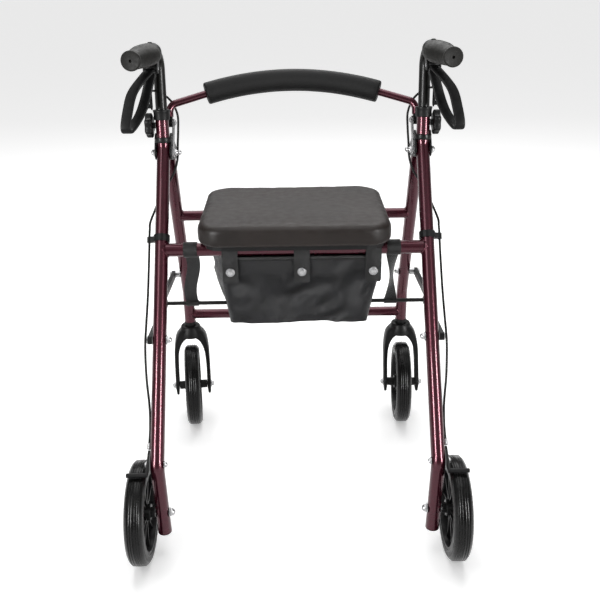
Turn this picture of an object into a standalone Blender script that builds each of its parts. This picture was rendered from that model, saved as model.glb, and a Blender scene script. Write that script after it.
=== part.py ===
"""Four-wheeled folding rollator walker with a padded seat, loop brakes and a storage pouch.

Metres, +Z up, +X to the user's right, +Y the way the user walks. The origin is on the
floor under the middle of the walker. Side positions are first given as distances in
front of the rear wheels' axle and are moved to the walker's own frame by at().
"""

import math

import bmesh
import bpy
from mathutils import Matrix, Vector

# Driving dimensions
FRAME_MID = 0.2489           # the origin's distance in front of the leg datum
LEG_X = 0.252                # leg centre lines, either side of the middle
LEG_R = 0.0127               # 1 inch main tube
LEG_WALL = 0.0014
BAR_R = 0.011                # lighter cross bars
BAR_WALL = 0.0015
BAR_PLATE = 0.003            # flat bars that carry the backrest
WHEEL_R = 0.09525            # 7.5 inch wheels, all four alike
TYRE_HALF_WIDTH = 0.0165
REAR_WHEEL_X = 0.2878
REAR_AXLE = (0.003, WHEEL_R)
REAR_BOSS = (0.0243, 0.0180)     # how far the rear hubs reach, inwards and outwards
CASTER_BOSS = (0.0322, 0.0322)   # and the caster hubs, between the fork arms
GAP = 0.0003                 # between pieces that touch
RUNNING = 0.0004             # round a pin that turns

# Side view points, as (distance in front of the datum, height)
SOCKET_TOP = (0.3518, 0.7635)
LEG_KNEE = (0.3446, 0.6964)
LEG_ANKLE = (-0.0011, 0.195)
LEG_FOOT = (0.0045, 0.052)
FOOT_X = 0.249
HINGE = (0.342, 0.687)       # bolt that holds the bracket to the rear leg
PIVOT = (0.4035, 0.674)      # bolt that the front leg turns on
FRONT_TOP = (0.3979, 0.688)
FRONT_KNEE = (0.5511, 0.305)
FRONT_FOOT = (0.552, 0.236)
CASTER_STEM_Y = 0.552
CASTER_TRAIL = 0.058
CASTER_REST = {"l": 6.0, "r": 2.0}
NEAR_BAR = (0.2277, 0.5265)
FAR_BAR = (0.464, 0.523)
LOW_BAR = (0.5516, 0.254)
BRACE_REAR = (0.1299, 0.385)
BRACE_FRONT = (0.5271, 0.365)
BRACE_KNEE = (0.3285, 0.375)
BACKREST_PIVOT = (0.379, 0.738)
BRAKE_PIVOT = (-0.0005, 0.200)
KNOB = (0.349, 0.739)
HANDLE_CORNER = (0.3640, 0.877)
STEM_FOOT = (0.3453, 0.703)
GRIP_END_X = 0.272
GRIP_END = (0.183, 0.877)
LEVER_PIVOT = (0.306, 0.850)
LEVER_X = 0.2585
SEAT_HALF_WIDTH = 0.180
SEAT_Y = (0.165, 0.465)
SEAT_Z = (0.5485, 0.588)
POUCH_X = 0.008
CLIP = (0.0245, 0.0070)      # the cable clip's eye: outwards and ahead of the leg

SIDES = {"l": -1.0, "r": 1.0}


def clear_scene():
    for obj in list(bpy.data.objects):
        bpy.data.objects.remove(obj)


def at(x, y, z):
    """A point whose y is a distance in front of the leg datum."""
    return Vector((x, y - FRAME_MID, z))


def side_point(x, place):
    """A side view point (distance forward, height) put at x."""
    return at(x, place[0], place[1])


# Materials


def material(name, colour, roughness, metallic=0.0):
    made = bpy.data.materials.new(name)
    made.use_nodes = True
    made.diffuse_color = (*colour, 1.0)
    shader = made.node_tree.nodes["Principled BSDF"]
    shader.inputs["Base Color"].default_value = (*colour, 1.0)
    shader.inputs["Roughness"].default_value = roughness
    shader.inputs["Metallic"].default_value = metallic
    return made


# Shapes: each is a pair of points and faces, in world space


def rounded(points, radius):
    """The polyline with an arc of this radius at each inner corner."""
    path = [Vector(points[0])]
    for before, corner, after in zip(points, points[1:], points[2:]):
        corner = Vector(corner)
        back = (Vector(before) - corner).normalized()
        ahead = (Vector(after) - corner).normalized()
        turn = math.pi - back.angle(ahead)
        steps = max(2, round(turn / 0.3))
        reach = radius * math.tan(turn / 2)
        start = corner + back * reach
        normal = (back + ahead).normalized()
        centre = corner + normal * radius / math.cos(turn / 2)
        axis = (start - centre).cross(corner - start).normalized()
        for step in range(steps + 1):
            spin = Matrix.Rotation(turn * step / steps, 3, axis)
            path.append(centre + spin @ (start - centre))
    path.append(Vector(points[-1]))
    return path


def smooth_curve(points, steps, closed=False):
    """A Catmull-Rom curve through the points."""
    points = [Vector(point) for point in points]
    count = len(points)
    path = []
    for index in range(count if closed else count - 1):
        if closed:
            near = [points[(index + shift) % count] for shift in (-1, 0, 1, 2)]
        else:
            near = [points[min(max(index + shift, 0), count - 1)] for shift in (-1, 0, 1, 2)]
        p0, p1, p2, p3 = near
        for step in range(steps):
            t = step / steps
            path.append(
                0.5 * (2 * p1 + (p2 - p0) * t + (2 * p0 - 5 * p1 + 4 * p2 - p3) * t * t
                       + (3 * p1 - p0 - 3 * p2 + p3) * t ** 3)
            )
    if not closed:
        path.append(points[-1])
    return path


def square_to(axis):
    """Two unit vectors square to the axis and to each other."""
    axis = Vector(axis).normalized()
    guide = Vector((1, 0, 0)) if abs(axis.x) < 0.9 else Vector((0, 0, 1))
    first = (guide - axis * guide.dot(axis)).normalized()
    return first, axis.cross(first)


def ring_points(centre, first, second, radius, sides):
    turns = [2 * math.pi * step / sides for step in range(sides)]
    return [centre + (first * math.cos(a) + second * math.sin(a)) * radius for a in turns]


def quads_between(low, high, sides):
    return [
        (low + k, low + (k + 1) % sides, high + (k + 1) % sides, high + k)
        for k in range(sides)
    ]


def pipe(path, radius, bore=0.0, sides=16):
    """A round bar along the path, or a tube if it has a bore."""
    first, _ = square_to(path[1] - path[0])
    frames = []
    for index, point in enumerate(path):
        ahead = path[min(index + 1, len(path) - 1)] - path[max(index - 1, 0)]
        ahead.normalize()
        first = (first - ahead * first.dot(ahead)).normalized()
        frames.append((point, first.copy(), ahead.cross(first)))
    radii = (radius, bore) if bore else (radius,)
    points = []
    for layer in radii:
        for point, one, two in frames:
            points += ring_points(point, one, two, layer, sides)
    faces = []
    count = len(path)
    for layer in range(len(radii)):
        for index in range(count - 1):
            low = (layer * count + index) * sides
            faces += quads_between(low, low + sides, sides)
    last = (count - 1) * sides
    if bore:
        faces += quads_between(0, count * sides, sides)
        faces += quads_between(last, count * sides + last, sides)
    else:
        faces.append(tuple(range(sides)))
        faces.append(tuple(range(last, last + sides)))
    return points, faces


def turned(outline, origin, axis, sides=20, ring=False):
    """A turned solid. The outline holds (distance along the axis, radius) pairs.

    A ring's outline closes on itself; any other outline is capped at both ends.
    """
    axis = Vector(axis).normalized()
    first, second = square_to(axis)
    points = []
    for along, radius in outline:
        points += ring_points(origin + axis * along, first, second, radius, sides)
    faces = []
    rows = len(outline)
    for row in range(rows if ring else rows - 1):
        faces += quads_between(row * sides, (row + 1) % rows * sides, sides)
    if not ring:
        faces.append(tuple(range(sides)))
        faces.append(tuple(range((rows - 1) * sides, rows * sides)))
    return points, faces


def collar(origin, axis, start, end, inner, outer, sides=20):
    """A plain ring between two distances along the axis."""
    outline = [(start, inner), (start, outer), (end, outer), (end, inner)]
    return turned(outline, origin, axis, sides, ring=True)


def bolt(origin, axis, grip, shank, head, sides=10):
    """A domed bolt from the origin along the axis, with an acorn nut past its grip."""
    outline = [
        (-0.0045, head * 0.45), (-0.0018, head), (0, head), (0, shank), (grip, shank),
        (grip, head), (grip + 0.004, head), (grip + 0.0075, head * 0.4),
    ]
    return turned(outline, origin, axis, sides)


def loft(loops):
    """A closed solid through loops that have equal numbers of points."""
    sides = len(loops[0])
    points = [Vector(point) for loop in loops for point in loop]
    faces = []
    for row in range(len(loops) - 1):
        faces += quads_between(row * sides, (row + 1) * sides, sides)
    faces.append(tuple(range(sides)))
    faces.append(tuple(range((len(loops) - 1) * sides, len(loops) * sides)))
    return points, faces


def band(stations, closed):
    """A four-sided strip through its stations, each a list of four corners."""
    points = [corner for station in stations for corner in station]
    faces = []
    count = len(stations)
    for row in range(count if closed else count - 1):
        faces += quads_between(row * 4, (row + 1) % count * 4, 4)
    if not closed:
        faces += [(0, 1, 2, 3), tuple(range(count * 4 - 4, count * 4))]
    return points, faces


def plate(circles, low, high, steps=8):
    """A flat plate between x = low and high, whose outline wraps the circles.

    Each circle is (distance forward, height, radius).
    """
    cloud = []
    for forward, height, radius in circles:
        for step in range(steps):
            a = 2 * math.pi * step / steps
            cloud.append((forward + radius * math.cos(a), height + radius * math.sin(a)))
    cloud = sorted(set(cloud))

    def half(walk):
        hull = []
        for spot in walk:
            while len(hull) > 1 and turn_of(hull[-2], hull[-1], spot) <= 1e-12:
                hull.pop()
            hull.append(spot)
        return hull[:-1]

    outline = half(cloud) + half(cloud[::-1])
    return loft([[at(x, *spot) for spot in outline] for x in (low, high)])


def turn_of(a, b, c):
    return (b[0] - a[0]) * (c[1] - a[1]) - (b[1] - a[1]) * (c[0] - a[0])


def block(low, high):
    """A box between two corners."""
    (x0, y0, z0), (x1, y1, z1) = low, high
    loop = [(x0, y0), (x1, y0), (x1, y1), (x0, y1)]
    return loft([[at(x, y, z) for x, y in loop] for z in (z0, z1)])


def rounded_rectangle(x0, x1, y0, y1, radius, z, steps=4):
    """A level outline with round corners."""
    loop = []
    corners = [(x1, y1, 0), (x0, y1, 1), (x0, y0, 2), (x1, y0, 3)]
    for x, y, quarter in corners:
        cx = x - radius if x == x1 else x + radius
        cy = y - radius if y == y1 else y + radius
        for step in range(steps + 1):
            a = (quarter + step / steps) * math.pi / 2
            loop.append(at(cx + radius * math.cos(a), cy + radius * math.sin(a), z))
    return loop


def slab(x0, x1, y0, y1, z0, z1, corner, edge):
    """A level pad with round corners and eased edges."""
    levels = [(z0, edge), (z0 + edge, 0), (z1 - edge, 0), (z1 - edge * 0.3, edge * 0.35), (z1, edge)]
    return loft([
        rounded_rectangle(x0 + inset, x1 - inset, y0 + inset, y1 - inset, corner - inset * 0.5, z)
        for z, inset in levels
    ])


# Objects


def mesh_of(name, shapes):
    """One mesh from the shapes, each a separate closed body facing outwards."""
    built = bmesh.new()
    for points, faces in shapes:
        corners = [built.verts.new(point) for point in points]
        for face in faces:
            built.faces.new([corners[index] for index in face])
    bmesh.ops.recalc_face_normals(built, faces=built.faces)
    mesh = bpy.data.meshes.new(name)
    built.to_mesh(mesh)
    built.free()
    return mesh


def combined(obj, tools, operation):
    """Cuts the tools from the object, or joins them to it, one after another."""
    for tool in tools:
        helper = bpy.data.objects.new("helper", mesh_of("helper", [tool]))
        bpy.context.collection.objects.link(helper)
        change = obj.modifiers.new(operation, "BOOLEAN")
        change.operation = operation
        change.object = helper
        graph = bpy.context.evaluated_depsgraph_get()
        result = bpy.data.meshes.new_from_object(obj.evaluated_get(graph))
        obj.modifiers.clear()
        obj.data = result
        bpy.data.objects.remove(helper)


def piece(name, shapes, finish, joined=(), cuts=(), pivot=None):
    """A named part. Its origin goes to the pivot, where it turns."""
    obj = bpy.data.objects.new(name, mesh_of(name, shapes))
    bpy.context.collection.objects.link(obj)
    combined(obj, joined, "UNION")
    combined(obj, cuts, "DIFFERENCE")
    obj.data.materials.clear()
    obj.data.materials.append(finish)
    obj.data.shade_smooth()
    obj.data.set_sharp_from_angle(angle=math.radians(38))
    if pivot is not None:
        obj.data.transform(Matrix.Translation(-pivot))
        obj.location = pivot
    return obj


def hole(centre, axis, radius, length, sides=12):
    """A round cutter centred on a point."""
    return turned([(-length / 2, radius), (length / 2, radius)], centre, axis, sides)


ACROSS = Vector((1, 0, 0))


# Frame tubes


def rear_leg_line():
    """The rear leg's slanted stretch, as (unit direction going up, point)."""
    low, high = Vector(LEG_ANKLE), Vector(LEG_KNEE)
    return (high - low).normalized(), low


def rear_leg_at(height):
    """Distance forward of the slanted stretch at a height."""
    direction, low = rear_leg_line()
    return low.x + direction.x * (height - low.y) / direction.y


def rear_leg_path(side):
    corners = [
        side_point(side * LEG_X, SOCKET_TOP),
        side_point(side * LEG_X, LEG_KNEE),
        side_point(side * LEG_X, LEG_ANKLE),
        side_point(side * FOOT_X, LEG_FOOT),
    ]
    return rounded(corners, 0.035)


def front_leg_path(side):
    places = (FRONT_TOP, FRONT_KNEE, FRONT_FOOT)
    return rounded([side_point(side * LEG_X, place) for place in places], 0.06)


def cross_bar(name, place, radius, wall, leg_direction, finish):
    """A bar between the legs, with its ends shaped to the round legs."""
    path = [side_point(x, place) for x in (-LEG_X + 0.004, LEG_X - 0.004)]
    cutters = [
        hole(side_point(side * LEG_X, place), leg_direction, LEG_R + GAP, 0.09, 28)
        for side in SIDES.values()
    ]
    return piece(name, [pipe(path, radius, radius - wall, 16)], finish, cuts=cutters)


def make_frame(red):
    bore = LEG_R - LEG_WALL
    for tag, side in SIDES.items():
        x = side * LEG_X
        drill = [
            hole(side_point(x, HINGE), ACROSS, 0.004 + RUNNING, 0.06),
            hole(side_point(x, BRACE_REAR), ACROSS, 0.004 + RUNNING, 0.06),
            hole(side_point(x, REAR_AXLE), ACROSS, 0.0045 + RUNNING, 0.06),
            hole(side_point(x, BRAKE_PIVOT), ACROSS, 0.0035 + RUNNING, 0.06),
            hole(side_point(side * (LEG_X + 0.012), KNOB), ACROSS, 0.003 + RUNNING, 0.01),
        ]
        piece(f"rear_leg_{tag}", [pipe(rear_leg_path(side), LEG_R, bore)], red, cuts=drill)
        drill = [
            hole(side_point(x, PIVOT), ACROSS, 0.004 + RUNNING, 0.06),
            hole(side_point(x, BRACE_FRONT), ACROSS, 0.004 + RUNNING, 0.06),
        ]
        path = front_leg_path(side)
        piece(f"front_leg_{tag}", [pipe(path, LEG_R, bore)], red, cuts=drill,
              pivot=side_point(x, PIVOT))
    slant, _ = rear_leg_line()
    rear_way = Vector((0, slant.x, slant.y))
    front_way = Vector((0, FRONT_TOP[0] - FRONT_KNEE[0], FRONT_TOP[1] - FRONT_KNEE[1]))
    cross_bar("rear_seat_bar", NEAR_BAR, LEG_R, BAR_WALL, rear_way, red)
    cross_bar("front_seat_bar", FAR_BAR, BAR_R, BAR_WALL, front_way, red)
    cross_bar("front_lower_bar", LOW_BAR, BAR_R, BAR_WALL, Vector((0, 0, 1)), red)


def make_hinges(black, steel):
    """The bracket that joins each front leg to its rear leg, and its bolts."""
    inner, outer = LEG_R + RUNNING, LEG_R + 0.0034
    socket_way = Vector((0, SOCKET_TOP[0] - LEG_KNEE[0], SOCKET_TOP[1] - LEG_KNEE[1]))
    for tag, side in SIDES.items():
        x = side * LEG_X
        lobes = [(*HINGE, 0.0135), (*PIVOT, 0.012), (0.354, 0.714, 0.009)]
        near_plate = plate(lobes, x - outer, x - inner)
        far_plate = plate(lobes, x + inner, x + outer)
        base = side_point(x, (0.3462, 0.7115))
        strap = collar(base, socket_way, -0.005, 0.005, inner, outer + 0.0004)
        holes = [hole(side_point(x, spot), ACROSS, 0.004 + GAP, 0.06) for spot in (HINGE, PIVOT)]
        piece(f"hinge_bracket_{tag}", [strap], black, joined=[near_plate, far_plate], cuts=holes)
        inward = Vector((-side, 0, 0))
        start = x + side * (outer + GAP)
        grip = 2 * outer + 2 * GAP
        long_grip = grip + BAR_PLATE + 2 * GAP
        piece(f"hinge_bolt_{tag}", [bolt(side_point(start, HINGE), inward, long_grip, 0.004, 0.0068)], steel)
        piece(f"fold_bolt_{tag}", [bolt(side_point(start, PIVOT), inward, grip, 0.004, 0.0068)], steel)


def make_backrest(red, foam, steel):
    """The backrest tube with its hinge ends, the foam sleeve and the flat carrier bars."""
    end_x = 0.241
    middle, half = (0.425, 0.811), 0.170

    def arch(x):
        t = x / half
        return at(x, middle[0] - 0.020 * t * t, middle[1] - 0.022 * t * t)

    span = [arch(half * step / 5) for step in range(-5, 6)]
    ends = {}
    for tag, side in SIDES.items():
        corner = at(side * end_x, 0.388, 0.7705)
        low_end = at(side * end_x, 0.3795, 0.7488)
        ends[tag] = rounded([span[0 if side < 0 else -1], corner, low_end], 0.02)
    path = ends["l"][::-1] + span[1:-1] + ends["r"]
    pivot = side_point(0, BACKREST_PIVOT)
    joined = []
    inner_face = LEG_X - LEG_R - 0.0034
    for tag, side in SIDES.items():
        inward = Vector((-side, 0, 0))
        x0, x1 = sorted((side * (inner_face + GAP), side * 0.2470))
        joined.append(plate([(*BACKREST_PIVOT, 0.0085), (0.3797, 0.7478, 0.0050)], x0, x1))
        far = inner_face - BAR_PLATE - 2 * GAP
        stud = [(-0.004, 0.003), (inner_face - far, 0.003), (inner_face - far, 0.0055),
                (inner_face - far + 0.0015, 0.0050), (inner_face - far + 0.0025, 0.0030)]
        joined.append(turned(stud, side_point(side * inner_face, BACKREST_PIVOT), inward, 14))
        x0, x1 = sorted((side * (inner_face - GAP), side * (inner_face - GAP - BAR_PLATE)))
        bar = plate([(*HINGE, 0.008), (*BACKREST_PIVOT, 0.008)], x0, x1)
        piece(f"backrest_bar_{tag}", [bar], steel, cuts=[
            hole(side_point(side * inner_face, HINGE), ACROSS, 0.004 + GAP, 0.02),
            hole(side_point(side * inner_face, BACKREST_PIVOT), ACROSS, 0.003 + RUNNING, 0.02),
        ])
    piece("backrest_tube", [pipe(path, 0.0073, sides=12)], red, joined=joined, pivot=pivot)
    piece("backrest_foam", [pipe(span, 0.0213, 0.0077, 14)], foam, pivot=pivot)


# Handles and brakes


def handle_path(side):
    corners = [
        side_point(side * LEG_X, STEM_FOOT),
        side_point(side * LEG_X, HANDLE_CORNER),
        side_point(side * (GRIP_END_X - 0.0007), (GRIP_END[0] + 0.006, GRIP_END[1])),
    ]
    return rounded(corners, 0.032)


def grip_frame(side):
    """Where the grip ends, and its unit directions backwards and outwards."""
    end = side_point(side * GRIP_END_X, GRIP_END)
    corner = side_point(side * LEG_X, HANDLE_CORNER)
    back = (end - corner).normalized()
    return end, back, Vector((back.y * -side, back.x * side, 0)).normalized()


def make_handle(tag, side, tube, rubber, black):
    path = handle_path(side)
    piece(f"handle_stem_{tag}", [pipe(path, 0.011, 0.0095, 16)], tube)
    end, back, out = grip_frame(side)
    if out.x * side < 0:
        out = -out
    up = Vector((0, 0, 1))
    # half width, half height and inward shift along the grip, from its front to its end
    sections = [
        (0.118, 0.0150, 0.0150, 0.000), (0.112, 0.0175, 0.0168, 0.001),
        (0.095, 0.0240, 0.0185, 0.005), (0.070, 0.0275, 0.0195, 0.007),
        (0.045, 0.0240, 0.0185, 0.005), (0.022, 0.0180, 0.0168, 0.001),
        (0.006, 0.0160, 0.0160, 0.000), (0.000, 0.0148, 0.0148, 0.000),
    ]
    loops = []
    for before_end, wide, tall, inward in sections:
        centre = end - back * before_end - out * inward
        turns = [2 * math.pi * step / 16 for step in range(16)]
        loops.append([centre + out * wide * math.cos(a) + up * tall * math.sin(a) for a in turns])
    bore = turned([(0, 0.0113), (0.125, 0.0113)], end - back * 0.0055, -back, 16)
    piece(f"grip_{tag}", [loft(loops)], rubber, cuts=[bore])

    # Clamp round the handle tube, with two cheeks for the lever and a ribbed arm below
    ring_at = end - back * 0.1327
    clamp = collar(ring_at, back, -0.0125, 0.0125, 0.0113, 0.0168)
    cheeks = []
    for offset in (-0.0130, 0.0100):
        low = side * LEVER_X + offset
        shape = [(*LEVER_PIVOT, 0.009), (0.309, 0.862, 0.003), (0.326, 0.862, 0.003)]
        cheeks.append(plate(shape, low, low + 0.003))
    x0, x1 = sorted((side * 0.2647, side * 0.2757))
    arm = plate([(0.326, 0.780, 0.008), (0.3265, 0.8575, 0.009)], x0, x1)
    pin_start = side_point(side * LEVER_X - 0.0118, LEVER_PIVOT)
    pin = turned([(0, 0.0025), (0.0236, 0.0025)], pin_start, ACROSS, 12)
    piece(f"brake_housing_{tag}", [clamp], black, joined=[*cheeks, arm, pin])

    # Loop lever: a band that runs down behind the arm and back up. Each place on it is
    # given ahead of the datum, above the floor, and outwards of the pivot's middle.
    centre_line = [
        (0.3015, 0.8475, -0.002), (0.2800, 0.8400, 0.0080), (0.2560, 0.8140, 0.0280),
        (0.2370, 0.7830, 0.0360), (0.2240, 0.7590, 0.0390), (0.2290, 0.7500, 0.0370),
        (0.2470, 0.7580, 0.0290), (0.2670, 0.7750, 0.0190), (0.2850, 0.7960, 0.0120),
        (0.2960, 0.8250, 0.0040),
    ]
    line = smooth_curve(centre_line, 3, closed=True)
    stations = []
    for index, spot in enumerate(line):
        ahead = line[(index + 1) % len(line)] - line[index - 1]
        normal = Vector((-ahead.y, ahead.x, 0)).normalized()
        corners = []
        for across, apart in ((-1, -1), (1, -1), (1, 1), (-1, 1)):
            place = spot + normal * apart * 0.0034
            x = side * (LEVER_X + max(0.0, spot.z) + across * 0.0093)
            corners.append(at(x, place.x, place.y))
        stations.append(corners)
    half = 0.0096
    boss = turned([(-half, 0.0072), (half, 0.0072)], side_point(side * LEVER_X, LEVER_PIVOT), ACROSS, 12)
    bore = hole(side_point(side * LEVER_X, LEVER_PIVOT), ACROSS, 0.0025 + RUNNING, 0.03, 12)
    piece(f"brake_lever_{tag}", [band(stations, True)], black, joined=[boss], cuts=[bore],
          pivot=side_point(side * LEVER_X, LEVER_PIVOT))


def make_collar_and_knob(tag, side, black):
    """The plastic collar at the socket's mouth, and the star knob that locks the stem."""
    way = Vector((0, SOCKET_TOP[0] - LEG_KNEE[0], SOCKET_TOP[1] - LEG_KNEE[1])).normalized()
    top = side_point(side * LEG_X, SOCKET_TOP)
    sleeve_in, stem_in = LEG_R + GAP, 0.0113
    outline = [
        (-0.0145, sleeve_in), (-0.0145, 0.0150), (-0.003, 0.0154), (0.003, 0.0168),
        (0.0045, 0.0160), (0.0045, stem_in), (GAP, stem_in), (GAP, sleeve_in),
    ]
    piece(f"stem_collar_{tag}", [turned(outline, top, way, 20, ring=True)], black)

    centre = side_point(side * 0.2695, KNOB)
    out = Vector((side, 0, 0))
    first, second = square_to(out)
    lobes = []
    for step in range(24):
        a = 2 * math.pi * step / 24
        reach = 0.0215 + 0.0022 * math.cos(6 * a)
        lobes.append((math.cos(a) * reach, math.sin(a) * reach))
    levels = [(0.0, 0.86), (0.0025, 1.0), (0.0115, 1.0), (0.0140, 0.80)]
    loops = [
        [centre + out * along + (first * u + second * v) * scale for u, v in lobes]
        for along, scale in levels
    ]
    neck = turned([(-0.0042, 0.006), (0.004, 0.006)], centre, out, 16)
    stud = turned([(-0.0060, 0.003), (0.004, 0.003)], centre, out, 12)
    piece(f"height_knob_{tag}", [loft(loops)], black, joined=[neck, stud], pivot=centre)


def make_brake_arm(tag, side, steel):
    """The arm above the tyre, whose shoe the cable brings down onto the tread.

    Its pivot pin is riveted to it and turns in the leg, behind an acorn nut.
    """
    shoe_angle = math.radians(105)
    reach = WHEEL_R + 0.0025 + 0.004
    shoe = (REAR_AXLE[0] + reach * math.cos(shoe_angle), REAR_AXLE[1] + reach * math.sin(shoe_angle))
    x0, x1 = sorted((side * 0.2656, side * 0.2696))
    arm = plate([(*BRAKE_PIVOT, 0.008), (*shoe, 0.004), (0.018, 0.213, 0.0045)], x0, x1)
    bar = turned([(0, 0.004), (0.0355, 0.004)], side_point(side * 0.2680, shoe), Vector((side, 0, 0)), 14)
    inner_face = LEG_X - LEG_R - GAP
    pin = pivot_pin(side, BRAKE_PIVOT, 0.2700, 0.2700 - inner_face, 0.0035, 0.006)
    pivot = side_point(side * 0.2676, BRAKE_PIVOT)
    piece(f"brake_arm_{tag}", [arm], steel, joined=[bar, pin], pivot=pivot)


def pivot_pin(side, place, start, grip, shank, head):
    """A pin that runs inwards from x = start, through a link and a leg."""
    return bolt(side_point(side * start, place), Vector((-side, 0, 0)), grip, shank, head)


# Brake cables, along the inside of each handle and down the outside of each rear leg


def beside_leg(side, height, outwards, ahead):
    """A point by the rear leg: outwards from its centre line, and ahead square to its slope."""
    slant, _ = rear_leg_line()
    on_leg = side_point(side * LEG_X, (rear_leg_at(height), height))
    return on_leg + Vector((side * outwards, ahead * slant.y, -ahead * slant.x))


def cable_route(side):
    """From the lever's housing, round the socket, through the clip and down to the brake arm."""
    loose = [
        (0.2702, 0.3378, 0.8030), (0.2692, 0.3490, 0.8040), (0.2620, 0.3700, 0.8000),
        (0.2500, 0.3890, 0.7900), (0.2375, 0.4025, 0.7730), (0.2288, 0.4040, 0.7480),
        (0.2288, 0.3970, 0.7200), (0.2300, 0.3850, 0.6920), (0.2315, 0.3760, 0.6640),
        (0.2400, 0.3640, 0.6380), (0.2560, 0.3380, 0.6150),
    ]
    beside = [
        (0.580, 0.0225, 0.0110), (0.562, *CLIP), (0.545, *CLIP), (0.528, *CLIP), (0.508, *CLIP),
        (0.455, 0.0230, -0.0040), (0.410, 0.0222, -0.0170), (0.371, 0.0220, -0.0240),
        (0.325, 0.0200, -0.0140), (0.285, 0.0165, 0.0030),
    ]
    last = [(0.2668, 0.0420, 0.2480), (0.2674, 0.0185, 0.2215)]
    return (
        [at(side * x, y, z) for x, y, z in loose]
        + [beside_leg(side, *place) for place in beside]
        + [at(side * x, y, z) for x, y, z in last]
    )


def make_cable(tag, side, black):
    path = smooth_curve(cable_route(side), 2)
    curve = bpy.data.curves.new(f"brake_cable_{tag}", "CURVE")
    curve.dimensions = "3D"
    curve.bevel_depth = 0.0022
    curve.bevel_resolution = 2
    curve.use_fill_caps = True
    spline = curve.splines.new("POLY")
    spline.points.add(len(path) - 1)
    for spot, point in zip(spline.points, path):
        spot.co = (*point, 1.0)
    curve.materials.append(black)
    obj = bpy.data.objects.new(f"brake_cable_{tag}", curve)
    bpy.context.collection.objects.link(obj)


def make_cable_clip(tag, side, black):
    """A plastic ring on the leg with an eye for the cable."""
    slant, _ = rear_leg_line()
    way = Vector((0, slant.x, slant.y))
    centre = beside_leg(side, 0.545, 0, 0)
    eye = beside_leg(side, 0.545, *CLIP)
    toward = (eye - centre).normalized()
    across = way.cross(toward)
    lug = []
    for along in (-0.0055, 0.0055):
        middle = centre + way * along
        lug.append([
            middle + toward * reached + across * wide
            for reached, wide in ((0.0138, -0.0035), (0.0240, -0.0035), (0.0240, 0.0035), (0.0138, 0.0035))
        ])
    tall = 0.0065
    ring = turned([(-tall, LEG_R + 0.0028), (tall, LEG_R + 0.0028)], centre, way)
    holder = turned([(-0.0055, 0.0046), (0.0055, 0.0046)], eye, way, 12)
    cuts = [hole(centre, way, LEG_R + GAP + 0.0001, 0.04, 20), hole(eye, way, 0.0028, 0.04)]
    piece(f"cable_clip_{tag}", [ring], black, joined=[loft(lug), holder], cuts=cuts)


# Folding brace, rod and straps


def make_brace(black, steel):
    """The two-link brace on the outside of each side, and the rod that joins its knees.

    Each link carries its own riveted pivot pin, which turns in the leg.
    """
    rod_half = 0.2733
    leg_inside = LEG_X - LEG_R - GAP
    for tag, side in SIDES.items():
        knee_hole = 0.004 + RUNNING
        x0, x1 = sorted((side * 0.2655, side * 0.2735))
        link = plate([(*BRACE_REAR, 0.008), (*BRACE_KNEE, 0.008)], x0, x1)
        pin = pivot_pin(side, BRACE_REAR, 0.2733, 0.2733 - leg_inside, 0.004, 0.0068)
        piece(f"brace_rear_link_{tag}", [link], black, joined=[pin],
              cuts=[hole(side_point(side * 0.2695, BRACE_KNEE), ACROSS, knee_hole, 0.02)],
              pivot=side_point(side * 0.2695, BRACE_REAR))
        x0, x1 = sorted((side * 0.2745, side * 0.2825))
        link = plate([(*BRACE_FRONT, 0.008), (*BRACE_KNEE, 0.008)], x0, x1)
        pin = pivot_pin(side, BRACE_FRONT, 0.2823, 0.2823 - leg_inside, 0.004, 0.0068)
        shoulder = turned([(0, 0.0078), (0.0100, 0.0078)], side_point(side * 0.2750, BRACE_FRONT),
                          Vector((-side, 0, 0)), 12)
        piece(f"brace_front_link_{tag}", [link], black, joined=[pin, shoulder],
              cuts=[hole(side_point(side * 0.2785, BRACE_KNEE), ACROSS, knee_hole, 0.02)],
              pivot=side_point(side * 0.2785, BRACE_FRONT))
    rod = turned([(-rod_half, 0.004), (rod_half, 0.004)], side_point(0, BRACE_KNEE), ACROSS, 14)
    piece("fold_rod", [rod], steel, pivot=side_point(0, BRACE_KNEE))


def make_straps(webbing):
    """Flat webbing from the rear seat bar to the fold rod, to lift the rod by."""
    bar, rod = Vector(NEAR_BAR), Vector(BRACE_KNEE)
    way = (rod - bar).normalized()
    square = Vector((-way.y, way.x)) * 0.0011
    start, end = bar + way * (LEG_R + 0.0006), rod - way * 0.0046
    outline = [start - square, start + square, end + square, end - square]
    for tag, side in SIDES.items():
        x0, x1 = sorted((side * 0.190, side * 0.216))
        strip = loft([[at(x, spot.x, spot.y) for spot in outline] for x in (x0, x1)])
        piece(f"lift_strap_{tag}", [strip], webbing)


# Seat and pouch


def make_seat(leather, black):
    pivot = side_point(0, FAR_BAR)
    half, (y0, y1), (z0, z1) = SEAT_HALF_WIDTH, SEAT_Y, SEAT_Z
    piece("seat_pad", [slab(-half, half, y0, y1, z0, z1, 0.045, 0.010)], leather, pivot=pivot)
    inset = 0.012
    board = loft([
        rounded_rectangle(inset - half, half - inset, y0 + inset, y1 - 0.004, 0.034, z, 3)
        for z in (0.5397, z0 - GAP)
    ])
    joined = []
    for side in SIDES.values():
        joined.append(turned([(-0.011, 0.0142), (0.011, 0.0142)], side_point(side * 0.12, FAR_BAR), ACROSS))
        low = (side * 0.12 - 0.011, FAR_BAR[0] - 0.024, 0.5330)
        joined.append(block(low, (side * 0.12 + 0.011, FAR_BAR[0] - 0.004, 0.5410)))
    bore = hole(pivot, ACROSS, BAR_R + RUNNING, 0.3, 20)
    piece("seat_board", [board], black, joined=joined, cuts=[bore], pivot=pivot)


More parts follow.
